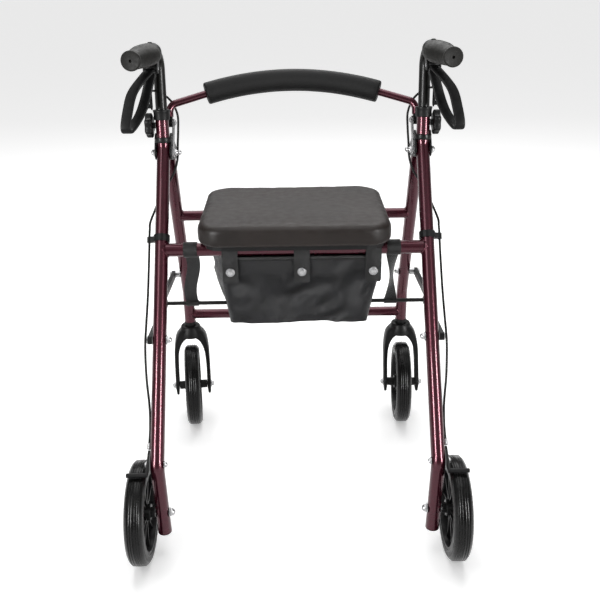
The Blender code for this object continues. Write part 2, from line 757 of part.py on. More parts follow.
def make_pouch(fabric):
    """The bag that hangs under the seat's rear half, wider at its mouth."""
    levels = [(0.376, 0.128, 0.226, 0.306), (0.382, 0.136, 0.220, 0.314),
              (0.440, 0.146, 0.217, 0.317), (0.5125, 0.152, 0.217, 0.317)]
    loops = [
        rounded_rectangle(POUCH_X - half, POUCH_X + half, y0, y1, 0.02, z)
        for z, half, y0, y1 in levels
    ]
    piece("pouch", [loft(loops)], fabric)


# Wheels and casters


def wheel_meshes(boss):
    """The tyre and the spoked hub, centred on the origin with the axle along X."""
    origin = Vector((0, 0, 0))
    half = TYRE_HALF_WIDTH
    tread = [
        (-half, 0.0765), (-half, 0.0885), (-half + 0.0055, WHEEL_R),
        (half - 0.0055, WHEEL_R), (half, 0.0885), (half, 0.0765),
    ]
    tyre = mesh_of("tyre", [turned(tread, origin, ACROSS, 28, ring=True)])
    rim = collar(origin, ACROSS, -0.0160, 0.0160, 0.0700, 0.0765 - GAP, 28)
    step = 0.0165
    centre = turned([
        (-boss[0], 0.0095), (-step, 0.0095), (-step, 0.0150),
        (step, 0.0150), (step, 0.0095), (boss[1], 0.0095),
    ], origin, ACROSS, 16)
    obj = bpy.data.objects.new("spoked_hub", mesh_of("spoked_hub", [rim]))
    bpy.context.collection.objects.link(obj)
    spokes = []
    for spoke in range(5):
        turn = Matrix.Rotation(math.pi * spoke / 5 + 0.1, 3, "X")
        corners = [(-0.0022, -0.0722), (0.0022, -0.0722), (0.0022, 0.0722), (-0.0022, 0.0722)]
        spokes.append(loft([
            [turn @ Vector((x, y, z)) for y, z in corners] for x in (-0.0085, 0.0085)
        ]))
    combined(obj, [centre, *spokes], "UNION")
    combined(obj, [hole(origin, ACROSS, 0.0045 + RUNNING, 0.08)], "DIFFERENCE")
    hub = obj.data
    bpy.data.objects.remove(obj)
    return tyre, hub


def place_wheel(prefix, tag, centre, turn, meshes, finishes):
    for kind, mesh, finish in zip(("tyre", "hub"), meshes, finishes):
        own = mesh.copy()
        own.materials.clear()
        own.materials.append(finish)
        own.shade_smooth()
        own.set_sharp_from_angle(angle=math.radians(38))
        obj = bpy.data.objects.new(f"{prefix}_{kind}_{tag}", own)
        obj.location = centre
        obj.rotation_euler = (0, 0, turn)
        bpy.context.collection.objects.link(obj)


def fork_shapes():
    """The fork in its own frame: stem axis at the origin, wheel trailing towards -Y."""
    drop = [(0.0372, 0.0765), (0.0372, 0.095), (0.0372, 0.120), (0.0368, 0.150),
            (0.0345, 0.175), (0.0270, 0.1955), (0.0130, 0.2085), (0.0, 0.2115)]
    thick = [0.0030, 0.0045, 0.0045, 0.0047, 0.0060, 0.0090, 0.0115, 0.0125]
    half = smooth_curve([Vector((x, z, t)) for (x, z), t in zip(drop, thick)], 2)
    line = [Vector((-spot.x, spot.y, spot.z)) for spot in half] + half[-2::-1]
    stations = []
    for index, spot in enumerate(line):
        ahead = line[min(index + 1, len(line) - 1)] - line[max(index - 1, 0)]
        normal = Vector((-ahead.y, ahead.x, 0)).normalized()
        corners = []
        for apart, along in ((1, -1), (1, 1), (-1, 1), (-1, -1)):
            x = spot.x + normal.x * apart * spot.z
            z = spot.y + normal.y * apart * spot.z
            fall = min(1.0, max(0.0, (0.200 - z) / (0.200 - WHEEL_R)))
            middle = -CASTER_TRAIL * fall
            wide = 0.021 - 0.008 * fall
            corners.append(Vector((x, middle + along * wide, z)))
        stations.append(corners)
    crown = turned([(0.2020, 0.0285), (0.2150, 0.0250), (0.2255, 0.0215)], Vector((0, 0, 0)),
                   Vector((0, 0, 1)), 20)
    return band(stations, False), crown


def make_caster(tag, side, meshes, finishes, black, steel):
    turn = Matrix.Rotation(math.radians(-side * CASTER_REST[tag]), 4, "Z")
    stem_base = at(side * LEG_X, CASTER_STEM_Y, 0)
    place = Matrix.Translation(stem_base) @ turn
    up = Vector((0, 0, 1))
    origin = Vector((0, 0, 0))
    axle_middle = Vector((0, -CASTER_TRAIL, WHEEL_R))
    arch, crown = fork_shapes()
    bore = hole(axle_middle, ACROSS, 0.0045 + GAP, 0.12)
    stem = turned([(0.2200, 0.0060), (0.262, 0.0060), (0.2635, 0.0045)], origin, up, 12)
    axle = bolt(axle_middle - ACROSS * 0.0422, ACROSS, 0.0844, 0.0045, 0.0068)
    arch, crown, stem, bore, axle = (
        ([place @ point for point in points], faces)
        for points, faces in (arch, crown, stem, bore, axle)
    )
    piece(f"caster_fork_{tag}", [arch], black, joined=[crown, stem], cuts=[bore], pivot=stem_base)
    piece(f"caster_axle_{tag}", [axle], steel, pivot=place @ axle_middle)
    angle = math.radians(-side * CASTER_REST[tag])
    place_wheel("caster", tag, place @ axle_middle, angle, meshes, finishes)


def make_rear_axle(tag, side, steel):
    """The axle bolt, from outside the wheel through the leg to its acorn nut."""
    leg_in = LEG_X - 0.0021 - LEG_R
    start = REAR_WHEEL_X + REAR_BOSS[1] + 0.0004
    axle = bolt(side_point(side * start, REAR_AXLE), Vector((-side, 0, 0)), start - leg_in + GAP, 0.0045, 0.0078)
    piece(f"rear_axle_{tag}", [axle], steel)


def main():
    clear_scene()
    red = material("burgundy_paint", (0.16, 0.010, 0.035), 0.28, 0.75)
    black_steel = material("black_painted_steel", (0.018, 0.018, 0.020), 0.42, 0.2)
    tube = material("black_tube", (0.030, 0.030, 0.028), 0.38, 0.3)
    plastic = material("black_plastic", (0.020, 0.020, 0.021), 0.50)
    rubber = material("grip_rubber", (0.055, 0.053, 0.050), 0.72)
    foam = material("backrest_foam", (0.030, 0.030, 0.031), 0.85)
    leather = material("seat_vinyl", (0.035, 0.031, 0.030), 0.45)
    nylon = material("black_nylon", (0.020, 0.020, 0.026), 0.70)
    tyre = material("tyre_rubber", (0.022, 0.022, 0.022), 0.38)
    steel = material("zinc_plated_steel", (0.62, 0.62, 0.60), 0.30, 1.0)

    make_frame(red)
    make_hinges(black_steel, steel)
    make_backrest(red, foam, steel)
    make_brace(black_steel, black_steel)
    rear_wheel = wheel_meshes(REAR_BOSS)
    caster_wheel = wheel_meshes(CASTER_BOSS)
    for tag, side in SIDES.items():
        make_handle(tag, side, tube, rubber, plastic)
        make_collar_and_knob(tag, side, plastic)
        make_brake_arm(tag, side, black_steel)
        make_cable(tag, side, plastic)
        make_cable_clip(tag, side, plastic)
        make_rear_axle(tag, side, steel)
        make_caster(tag, side, caster_wheel, (tyre, plastic), plastic, steel)
        centre = side_point(side * REAR_WHEEL_X, REAR_AXLE)
        half_turn = math.pi if side < 0 else 0
        place_wheel("rear", tag, centre, half_turn, rear_wheel, (tyre, plastic))
    make_straps(nylon)
    make_seat(leather, black_steel)
    make_pouch(nylon)


main()
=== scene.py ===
"""Looks of the folding rollator walker: fine surfaces, materials, light and camera."""

import math

import bmesh
import bpy
from mathutils import Matrix, Vector, noise


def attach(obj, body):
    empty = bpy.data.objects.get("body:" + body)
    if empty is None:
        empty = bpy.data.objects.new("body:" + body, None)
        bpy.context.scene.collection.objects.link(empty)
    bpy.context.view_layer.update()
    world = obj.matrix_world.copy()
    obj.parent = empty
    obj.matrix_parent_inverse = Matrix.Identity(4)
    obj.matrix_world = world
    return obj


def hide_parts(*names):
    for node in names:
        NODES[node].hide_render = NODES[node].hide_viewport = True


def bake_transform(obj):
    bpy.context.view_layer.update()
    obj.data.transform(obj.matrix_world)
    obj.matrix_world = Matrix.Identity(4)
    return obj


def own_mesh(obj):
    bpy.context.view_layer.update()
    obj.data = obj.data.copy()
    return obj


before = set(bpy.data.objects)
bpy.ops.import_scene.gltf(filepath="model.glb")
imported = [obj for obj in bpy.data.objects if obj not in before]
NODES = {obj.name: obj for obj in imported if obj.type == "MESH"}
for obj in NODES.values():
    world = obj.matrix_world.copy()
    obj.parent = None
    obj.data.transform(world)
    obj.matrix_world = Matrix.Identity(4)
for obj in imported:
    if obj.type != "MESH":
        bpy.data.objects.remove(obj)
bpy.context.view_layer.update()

MID = 0.2489                 # the origin's distance in front of the leg datum
LEG_X, LEG_R = 0.252, 0.0127
WHEEL_R, HALF = 0.09525, 0.0165
SOCKET_TOP, LEG_KNEE = (0.3518, 0.7635), (0.3446, 0.6964)
LEG_ANKLE, LEG_FOOT, FOOT_X = (-0.0011, 0.195), (0.0045, 0.052), 0.249
HINGE, PIVOT = (0.342, 0.687), (0.4035, 0.674)
FRONT_TOP, FRONT_KNEE, FRONT_FOOT = (0.3979, 0.688), (0.5511, 0.305), (0.552, 0.236)
NEAR_BAR, FAR_BAR, LOW_BAR = (0.2277, 0.5265), (0.464, 0.523), (0.5516, 0.254)
BRACE_REAR, BRACE_FRONT, BRACE_KNEE = (0.1299, 0.385), (0.5271, 0.365), (0.3285, 0.375)
BACKREST_PIVOT, BRAKE_PIVOT = (0.379, 0.738), (-0.0005, 0.2)
HANDLE_CORNER, STEM_FOOT = (0.364, 0.877), (0.3453, 0.703)
GRIP_END_X, GRIP_END = 0.272, (0.183, 0.877)
LEVER_PIVOT, LEVER_X = (0.306, 0.85), 0.2585
KNOB = (0.349, 0.739)
CASTER_STEM_Y, CASTER_TRAIL, CASTER_REST = 0.552, 0.058, {"l": 6.0, "r": 2.0}
CLIP = (0.0245, 0.007)
LINK_NUT = (0.0062, 0.003, 0.003, 0.008)         # across, tall, dome and washer
STRAP_HALF, SNAP_STRAP_HALF = 0.0128, 0.015
POUCH_ROWS, POUCH_LOW, POUCH_TALL, POUCH_CORNER = 22, 0.3775, 0.136, 0.016
SIDES = {"l": -1.0, "r": 1.0}
ACROSS, UP = Vector((1, 0, 0)), Vector((0, 0, 1))


def at(x, y, z):
    return Vector((x, y - MID, z))


def side_point(x, place):
    return at(x, place[0], place[1])


# Materials


class Look:
    """A node material, built up from its Principled shader."""

    def __init__(self, name, colour, roughness, metallic=0.0, **sockets):
        self.material = bpy.data.materials.new(name)
        self.material.use_nodes = True
        self.tree = self.material.node_tree
        self.shader = self.tree.nodes["Principled BSDF"]
        self.put("Base Color", (*colour, 1.0))
        self.put("Roughness", roughness)
        self.put("Metallic", metallic)
        for name, value in sockets.items():
            self.put(name.replace("_", " "), value)
        self.colour = colour
        self.last_bump = None
        self.coords = self.tree.nodes.new("ShaderNodeTexCoord").outputs["Object"]

    def put(self, socket, value):
        self.shader.inputs[socket].default_value = value

    def node(self, kind, **values):
        made = self.tree.nodes.new(kind)
        for name, value in values.items():
            if hasattr(made, name):
                setattr(made, name, value)
            else:
                made.inputs[name.replace("_", " ")].default_value = value
        return made

    def noise(self, scale, detail=4.0):
        made = self.node("ShaderNodeTexNoise", Scale=scale, Detail=detail)
        self.tree.links.new(self.coords, made.inputs["Vector"])
        return made.outputs["Fac"]

    def ranged(self, value, low, high, start=0.3, end=0.7):
        made = self.node("ShaderNodeMapRange")
        made.inputs["From Min"].default_value = start
        made.inputs["From Max"].default_value = end
        made.inputs["To Min"].default_value = low
        made.inputs["To Max"].default_value = high
        self.tree.links.new(value, made.inputs["Value"])
        return made.outputs["Result"]

    def vary_colour(self, value, other, start=0.35, end=0.65):
        mix = self.node("ShaderNodeMix", data_type="RGBA")
        mix.inputs[6].default_value = (*self.colour, 1.0)
        mix.inputs[7].default_value = (*other, 1.0)
        self.tree.links.new(self.ranged(value, 0.0, 1.0, start, end), mix.inputs[0])
        self.tree.links.new(mix.outputs[2], self.shader.inputs["Base Color"])

    def vary_roughness(self, value, low, high):
        self.tree.links.new(self.ranged(value, low, high), self.shader.inputs["Roughness"])

    def bump(self, value, height, strength=0.5):
        bump = self.node("ShaderNodeBump", Strength=strength, Distance=height)
        self.tree.links.new(value, bump.inputs["Height"])
        if self.last_bump is not None:
            self.tree.links.new(self.last_bump, bump.inputs["Normal"])
        self.tree.links.new(bump.outputs["Normal"], self.shader.inputs["Normal"])
        self.last_bump = bump.outputs["Normal"]


# A look is its colour, roughness, metallic value and other sockets, and then its noises. A noise is
# what it drives, its scale and detail, and the arguments of the method that it drives.
SURFACES = {
    "burgundy_paint": (
        (0.05, 0.002, 0.01), 0.26, 0.6, {"Coat_Weight": 0.35, "Coat_Roughness": 0.05},
        [("vary_colour", 180, 2, (0.06, 0.0028, 0.0125)), ("vary_roughness", 25, 4, 0.22, 0.3)],
    ),
    "zinc_steel": (
        (0.4, 0.4, 0.405), 0.22, 1.0, {},
        [("vary_roughness", 120, 4, 0.2, 0.36), ("bump", 400, 3, 0.00005, 0.3)],
    ),
    "black_steel": (
        (0.0035, 0.0035, 0.0038), 0.34, 0.0,
        {"Specular_IOR_Level": 0.18, "Coat_Weight": 0.05, "Coat_Roughness": 0.25},
        [("vary_roughness", 40, 4, 0.32, 0.46), ("bump", 500, 3, 0.00012, 0.4)],
    ),
    "black_tube": (
        (0.005, 0.005, 0.0042), 0.28, 0.0,
        {"Specular_IOR_Level": 0.22, "Coat_Weight": 0.08, "Coat_Roughness": 0.16},
        [("vary_roughness", 60, 4, 0.28, 0.42), ("bump", 600, 2, 0.00008, 0.3)],
    ),
    "black_plastic": (
        (0.0032, 0.0032, 0.0034), 0.34, 0.0, {"Specular_IOR_Level": 0.17},
        [("vary_roughness", 80, 4, 0.36, 0.52), ("bump", 1400, 2, 0.00012, 0.5)],
    ),
    "hub_plastic": (
        (0.0028, 0.0028, 0.003), 0.3, 0.0, {"Specular_IOR_Level": 0.17},
        [("vary_roughness", 60, 4, 0.3, 0.44), ("bump", 900, 2, 0.0001, 0.4)],
    ),
    "grip_rubber": (
        (0.008, 0.0075, 0.0062), 0.46, 0.0, {"Specular_IOR_Level": 0.2},
        [("vary_colour", 900, 3, (0.026, 0.0245, 0.021), 0.5, 0.7), ("vary_roughness", 180, 4, 0.48, 0.66),
         ("bump", 1100, 3, 0.00022, 0.5)],
    ),
    "foam": (
        (0.0055, 0.0055, 0.0058), 0.6, 0.0, {"Specular_IOR_Level": 0.18},
        [("vary_colour", 700, 4, (0.01, 0.01, 0.01)), ("bump", 1300, 4, 0.0004, 0.6),
         ("bump", 60, 2, 0.0006, 0.3)],
    ),
    "tyre_rubber": (
        (0.0026, 0.0026, 0.0026), 0.24, 0.0, {"Specular_IOR_Level": 0.22},
        [("vary_roughness", 50, 4, 0.2, 0.32), ("vary_colour", 30, 4, (0.005, 0.005, 0.0048)),
         ("bump", 500, 3, 0.00004, 0.2)],
    ),
    "tyre_sidewall": (
        (0.03, 0.03, 0.0295), 0.4, 0.0, {"Specular_IOR_Level": 0.25}, [("vary_roughness", 60, 4, 0.38, 0.55)],
    ),
    "floor": ((0.93, 0.93, 0.93), 0.85, 0.0, {"Emission_Color": (1, 1, 1, 1), "Emission_Strength": 0.36}, []),
}


def make_looks():
    looks = {}
    for name, (colour, roughness, metallic, sockets, noises) in SURFACES.items():
        look = looks[name] = Look(name, colour, roughness, metallic, **sockets)
        for effect, scale, detail, *values in noises:
            getattr(look, effect)(look.noise(scale, detail), *values)
    vinyl = Look("seat_vinyl", (0.015, 0.0108, 0.0092), 0.42, 0.0, Specular_IOR_Level=0.2)
    cells = vinyl.node("ShaderNodeTexVoronoi", Scale=520.0, feature="DISTANCE_TO_EDGE")
    vinyl.tree.links.new(vinyl.coords, cells.inputs["Vector"])
    vinyl.bump(cells.outputs["Distance"], 0.0006, 0.35)
    vinyl.bump(vinyl.noise(45, 3), 0.0012, 0.25)
    vinyl.vary_roughness(vinyl.noise(70), 0.36, 0.5)
    vinyl.vary_colour(vinyl.noise(9, 3), (0.023, 0.0165, 0.014))
    looks["seat_vinyl"] = vinyl
    for name, colour, other, weave in (
        ("pouch_nylon", (0.003, 0.003, 0.0038), (0.006, 0.006, 0.008), 900.0),
        ("webbing", (0.0032, 0.0032, 0.0034), (0.006, 0.006, 0.006), 520.0),
    ):
        nylon = Look(name, colour, 0.38, 0.0, Specular_IOR_Level=0.22, Sheen_Weight=0.01, Sheen_Roughness=0.5)
        nylon.put("Sheen Tint", (0.35, 0.35, 0.4, 1.0))
        threads = []
        for direction in ("X", "Z"):
            wave = nylon.node("ShaderNodeTexWave", Scale=weave, Distortion=0.4)
            wave.bands_direction = direction
            nylon.tree.links.new(nylon.coords, wave.inputs["Vector"])
            threads.append(wave.outputs["Fac"])
        both = nylon.node("ShaderNodeMath", operation="MULTIPLY")
        nylon.tree.links.new(threads[0], both.inputs[0])
        nylon.tree.links.new(threads[1], both.inputs[1])
        nylon.bump(both.outputs[0], 0.0005, 0.5)
        nylon.bump(nylon.noise(38, 3), 0.0015, 0.35)
        nylon.vary_colour(nylon.noise(30, 3), other)
        looks[name] = nylon
    return {name: look.material for name, look in looks.items()}


LOOKS = make_looks()


# Shapes: each is a pair of points and faces


def rounded(points, radius, pitch=0.06):
    path = [Vector(points[0])]
    for before, corner, after in zip(points, points[1:], points[2:]):
        corner = Vector(corner)
        back = (Vector(before) - corner).normalized()
        ahead = (Vector(after) - corner).normalized()
        turn = math.pi - back.angle(ahead)
        start = corner + back * radius * math.tan(turn / 2)
        centre = corner + (back + ahead).normalized() * radius / math.cos(turn / 2)
        axis = (start - centre).cross(corner - start).normalized()
        steps = max(3, round(turn / pitch))
        for step in range(steps + 1):
            path.append(centre + Matrix.Rotation(turn * step / steps, 3, axis) @ (start - centre))
    path.append(Vector(points[-1]))
    return path


def smooth_curve(points, steps, closed=False):
    points = [Vector(point) for point in points]
    count = len(points)
    path = []
    for index in range(count if closed else count - 1):
        picks = [index + shift for shift in (-1, 0, 1, 2)]
        if closed:
            p0, p1, p2, p3 = (points[pick % count] for pick in picks)
        else:
            p0, p1, p2, p3 = (points[min(max(pick, 0), count - 1)] for pick in picks)
        for step in range(steps):
            t = step / steps
            path.append(
                0.5 * (2 * p1 + (p2 - p0) * t + (2 * p0 - 5 * p1 + 4 * p2 - p3) * t * t
                       + (3 * p1 - p0 - 3 * p2 + p3) * t ** 3)
            )
    if not closed:
        path.append(points[-1])
    return path


def square_to(axis):
    axis = Vector(axis).normalized()
    guide = Vector((1, 0, 0)) if abs(axis.x) < 0.9 else Vector((0, 0, 1))
    first = (guide - axis * guide.dot(axis)).normalized()
    return first, axis.cross(first)


def turns(count):
    """The angles of this many even steps round a circle."""
    return [2 * math.pi * step / count for step in range(count)]


def ring_points(centre, first, second, radius, sides):
    return [centre + (first * math.cos(a) + second * math.sin(a)) * radius for a in turns(sides)]


def quads_between(low, high, sides):
    return [(low + k, low + (k + 1) % sides, high + (k + 1) % sides, high + k) for k in range(sides)]


def pipe(path, radius, bore=0.0, sides=48):
    first, _ = square_to(path[1] - path[0])
    frames = []
    for index, point in enumerate(path):
        ahead = path[min(index + 1, len(path) - 1)] - path[max(index - 1, 0)]
        ahead.normalize()
        first = (first - ahead * first.dot(ahead)).normalized()
        frames.append((point, first.copy(), ahead.cross(first)))
    radii = (radius, bore) if bore else (radius,)
    points = []
    for layer in radii:
        for point, one, two in frames:
            points += ring_points(point, one, two, layer, sides)
    faces = []
    count = len(path)
    for layer in range(len(radii)):
        for index in range(count - 1):
            low = (layer * count + index) * sides
            faces += quads_between(low, low + sides, sides)
    last = (count - 1) * sides
    if bore:
        faces += quads_between(0, count * sides, sides)
        faces += quads_between(last, count * sides + last, sides)
    else:
        faces.append(tuple(range(sides)))
        faces.append(tuple(range(last, last + sides)))
    return points, faces


def turned(outline, origin, axis, sides=48, ring=False):
    axis = Vector(axis).normalized()
    first, second = square_to(axis)
    points = []
    for along, radius in outline:
        points += ring_points(origin + axis * along, first, second, radius, sides)
    faces = []
    rows = len(outline)
    for row in range(rows if ring else rows - 1):
        faces += quads_between(row * sides, (row + 1) % rows * sides, sides)
    if not ring:
        faces.append(tuple(range(sides)))
        faces.append(tuple(range((rows - 1) * sides, rows * sides)))
    return points, faces


def loft(loops):
    sides = len(loops[0])
    points = [Vector(point) for loop in loops for point in loop]
    faces = []
    for row in range(len(loops) - 1):
        faces += quads_between(row * sides, (row + 1) * sides, sides)
    faces.append(tuple(range(sides)))
    faces.append(tuple(range((len(loops) - 1) * sides, len(loops) * sides)))
    return points, faces


def band(stations, closed):
    points = [corner for station in stations for corner in station]
    faces = []
    count, wide = len(stations), len(stations[0])
    for row in range(count if closed else count - 1):
        faces += quads_between(row * wide, (row + 1) % count * wide, wide)
    if not closed:
        faces += [tuple(range(wide)), tuple(range((count - 1) * wide, count * wide))]
    return points, faces


def plate(circles, low, high, steps=32):
    cloud = []
    for forward, height, radius in circles:
        for a in turns(steps):
            cloud.append((forward + radius * math.cos(a), height + radius * math.sin(a)))
    cloud = sorted(set(cloud))

    def half(walk):
        hull = []
        for spot in walk:
            while len(hull) > 1 and (
                (hull[-1][0] - hull[-2][0]) * (spot[1] - hull[-2][1])
                - (hull[-1][1] - hull[-2][1]) * (spot[0] - hull[-2][0])
            ) <= 1e-12:
                hull.pop()
            hull.append(spot)
        return hull[:-1]

    outline = half(cloud) + half(cloud[::-1])
    return loft([[at(x, *spot) for spot in outline] for x in (low, high)])


def rounded_rectangle(x0, x1, y0, y1, radius, z, steps=8):
    loop = []
    for x, y, quarter in ((x1, y1, 0), (x0, y1, 1), (x0, y0, 2), (x1, y0, 3)):
        cx = x - radius if x == x1 else x + radius
        cy = y - radius if y == y1 else y + radius
        for step in range(steps + 1):
            a = (quarter + step / steps) * math.pi / 2
            loop.append(at(cx + radius * math.cos(a), cy + radius * math.sin(a), z))
    return loop


def cuff(half, inner, outer, centre, sides=48):
    """A flat ring round a bar that runs across, as wide as two halves."""
    corners = [(-half, inner), (-half, outer), (half, outer), (half, inner)]
    return turned(corners, centre, ACROSS, sides, ring=True)


def hex_nut(centre, axis, across=0.0065, tall=0.0045, dome=0.0055, washer=0.0085):
    """An acorn nut on a washer, standing on the surface at centre."""
    first, second = square_to(axis)
    axis = Vector(axis).normalized()
    shapes = [turned([(0, washer), (0.001, washer), (0.0012, washer * 0.94)], centre, axis, 32)]
    loops = []
    for along, scale in ((0.0008, 0.94), (0.0016, 1.0), (tall, 1.0), (tall + 0.0008, 0.93)):
        loops.append([
            centre + axis * along
            + (first * math.cos(a) + second * math.sin(a)) * across * scale
            for a in [math.pi * step / 3 for step in range(6)]
        ])
    shapes.append(loft(loops))
    if dome:
        round_top = [
            (tall + dome * math.sin(a), across * 0.84 * math.cos(a) + 0.00001)
            for a in [math.pi / 2 * step / 8 for step in range(9)]
        ]
        shapes.append(turned([(0.001, across * 0.84)] + round_top, centre, axis, 28))
    return shapes


# Objects


def add_bevel(obj, width, degrees, harden=False):
    change = obj.modifiers.new("Bevel", "BEVEL")
    change.width = width
    change.segments = 2
    change.limit_method = "ANGLE"
    change.angle_limit = math.radians(degrees)
    change.harden_normals = harden


def piece(name, shapes, look, body, replaced=(), bevel=0.0, smooth=35):
    """A new piece of these shapes. A piece that runs between two bodies is given none and left unattached."""
    built = bmesh.new()
    for points, faces in shapes:
        corners = [built.verts.new(point) for point in points]
        for face in faces:
            built.faces.new([corners[index] for index in face])
    bmesh.ops.recalc_face_normals(built, faces=built.faces)
    mesh = bpy.data.meshes.new(name)
    built.to_mesh(mesh)
    built.free()
    obj = bpy.data.objects.new(name, mesh)
    bpy.context.collection.objects.link(obj)
    mesh.materials.append(LOOKS[look])
    mesh.shade_smooth()
    mesh.set_sharp_from_angle(angle=math.radians(smooth))
    if bevel:
        add_bevel(obj, bevel, 40, harden=True)
    if body:
        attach(obj, body)
    if replaced:
        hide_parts(*replaced)
    return obj


def dress(node, look, bevel=0.0):
    """A CAD node kept as it is, with its material and softened edges."""
    obj = NODES[node]
    obj.data.materials.clear()
    obj.data.materials.append(LOOKS[look])
    if bevel:
        add_bevel(obj, bevel, 38)


# Frame


SLANT = (Vector(LEG_KNEE) - Vector(LEG_ANKLE)).normalized()
SLOPE = Vector((0, SLANT.x, SLANT.y))
FRONT_SLOPE = Vector((0, FRONT_TOP[0] - FRONT_KNEE[0], FRONT_TOP[1] - FRONT_KNEE[1])).normalized()
SOCKET = Vector((0, SOCKET_TOP[0] - LEG_KNEE[0], SOCKET_TOP[1] - LEG_KNEE[1])).normalized()


def rear_leg_at(height):
    return LEG_ANKLE[0] + SLANT.x * (height - LEG_ANKLE[1]) / SLANT.y


def saddle_bead(place, side, radius, leg_axis, thick=0.0017):
    """A weld bead that follows the round leg where a bar of this radius meets it."""
    stations = []
    middle = side_point(side * LEG_X, place)
    inward = Vector((-side, 0, 0))
    across = leg_axis.cross(inward).normalized()
    for a in turns(56):
        along, wide = radius * math.cos(a), radius * math.sin(a)
        depth = math.sqrt(max(LEG_R ** 2 - min(abs(wide), LEG_R * 0.96) ** 2, 0.0))
        spot = middle + leg_axis * along + across * wide + inward * depth
        outwards = (leg_axis * math.cos(a) + across * math.sin(a)).normalized()
        size = thick * (1 + 0.25 * noise.noise(spot * 600))
        stations.append([
            spot + outwards * size * math.cos(b) + inward * size * math.sin(b) for b in turns(8)
        ])
    return band(stations, True)


def make_frame():
    bore = LEG_R - 0.0014
    for tag, side in SIDES.items():
        x = side * LEG_X
        corners = [side_point(x, SOCKET_TOP), side_point(x, LEG_KNEE), side_point(x, LEG_ANKLE),
                   side_point(side * FOOT_X, LEG_FOOT)]
        piece(f"leg_tube_rear_{tag}", [pipe(rounded(corners, 0.035), LEG_R, bore)], "burgundy_paint",
              "rear_frame", [f"rear_leg_{tag}"])
        corners = [side_point(x, place) for place in (FRONT_TOP, FRONT_KNEE, FRONT_FOOT)]
        piece(f"leg_tube_front_{tag}", [pipe(rounded(corners, 0.06), LEG_R, bore)], "burgundy_paint",
              "front_frame", [f"front_leg_{tag}"])
        foot = side_point(side * FOOT_X, LEG_FOOT)
        way = (foot - side_point(x, LEG_ANKLE)).normalized()
        plug = [(-0.014, bore - 0.0003), (0.0003, bore - 0.0003), (0.0003, LEG_R), (0.001, LEG_R),
                (0.002, LEG_R - 0.0012), (0.0022, 0.006)]
        piece(f"rear_plug_{tag}", [turned(plug, foot, way)], "black_plastic", "rear_frame")
        top = side_point(x, FRONT_TOP)
        plug[0] = (-0.004, bore - 0.0003)
        piece(f"front_plug_{tag}", [turned(plug, top, FRONT_SLOPE)], "black_plastic", "front_frame")
    piece("weld_beads_rear", [saddle_bead(NEAR_BAR, s, LEG_R, SLOPE) for s in SIDES.values()],
          "burgundy_paint", "rear_frame")
    front = [saddle_bead(FAR_BAR, s, 0.011, FRONT_SLOPE) for s in SIDES.values()]
    front += [saddle_bead(LOW_BAR, s, 0.011, UP) for s in SIDES.values()]
    piece("weld_beads_front", front, "burgundy_paint", "front_frame")
    for name, place, radius, body in (
        ("rear_seat_bar", NEAR_BAR, LEG_R, "rear_frame"),
        ("front_seat_bar", FAR_BAR, 0.011, "front_frame"),
        ("front_lower_bar", LOW_BAR, 0.011, "front_frame"),
    ):
        reach = LEG_X - 0.009
        path = [side_point(-reach + 2 * reach * step / 4, place) for step in range(5)]
        piece(f"bar_of_{name}", [pipe(path, radius, radius - 0.0015)], "burgundy_paint", body, [name])


def make_hinges():
    inner, outer = LEG_R + 0.0004, LEG_R + 0.0034
    for tag, side in SIDES.items():
        x = side * LEG_X
        lobes = [(*HINGE, 0.0135), (*PIVOT, 0.012), (0.354, 0.714, 0.009)]
        plates = [plate(lobes, x - outer, x - inner), plate(lobes, x + inner, x + outer)]
        base = side_point(x, (0.3462, 0.7115))
        strap = turned([(-0.005, inner), (-0.005, outer), (-0.0042, outer + 0.0004), (0.0042, outer + 0.0004),
                        (0.005, outer), (0.005, inner)], base, SOCKET, ring=True)
        piece(f"hinge_shell_{tag}", [*plates, strap], "black_steel", "rear_frame",
              [f"hinge_bracket_{tag}"], bevel=0.0005)
        outward, inward = Vector((side, 0, 0)), Vector((-side, 0, 0))
        far = outer + 0.0002
        for name, spot, spacer, extra in (("hinge", HINGE, 0.0035, 0.004), ("fold", PIVOT, 0.0, 0.0)):
            outside = side_point(x + side * far, spot)
            nuts = hex_nut(outside, outward, dome=0.0035)
            nuts += hex_nut(side_point(x - side * (far + spacer), spot), inward)
            nuts.append(turned([(0, 0.004), (2 * far + extra, 0.004)], outside, inward))
            piece(f"{name}_nuts_{tag}", nuts, "zinc_steel", "rear_frame", [f"{name}_bolt_{tag}"])
        dress(f"backrest_bar_{tag}", "zinc_steel", 0.0004)


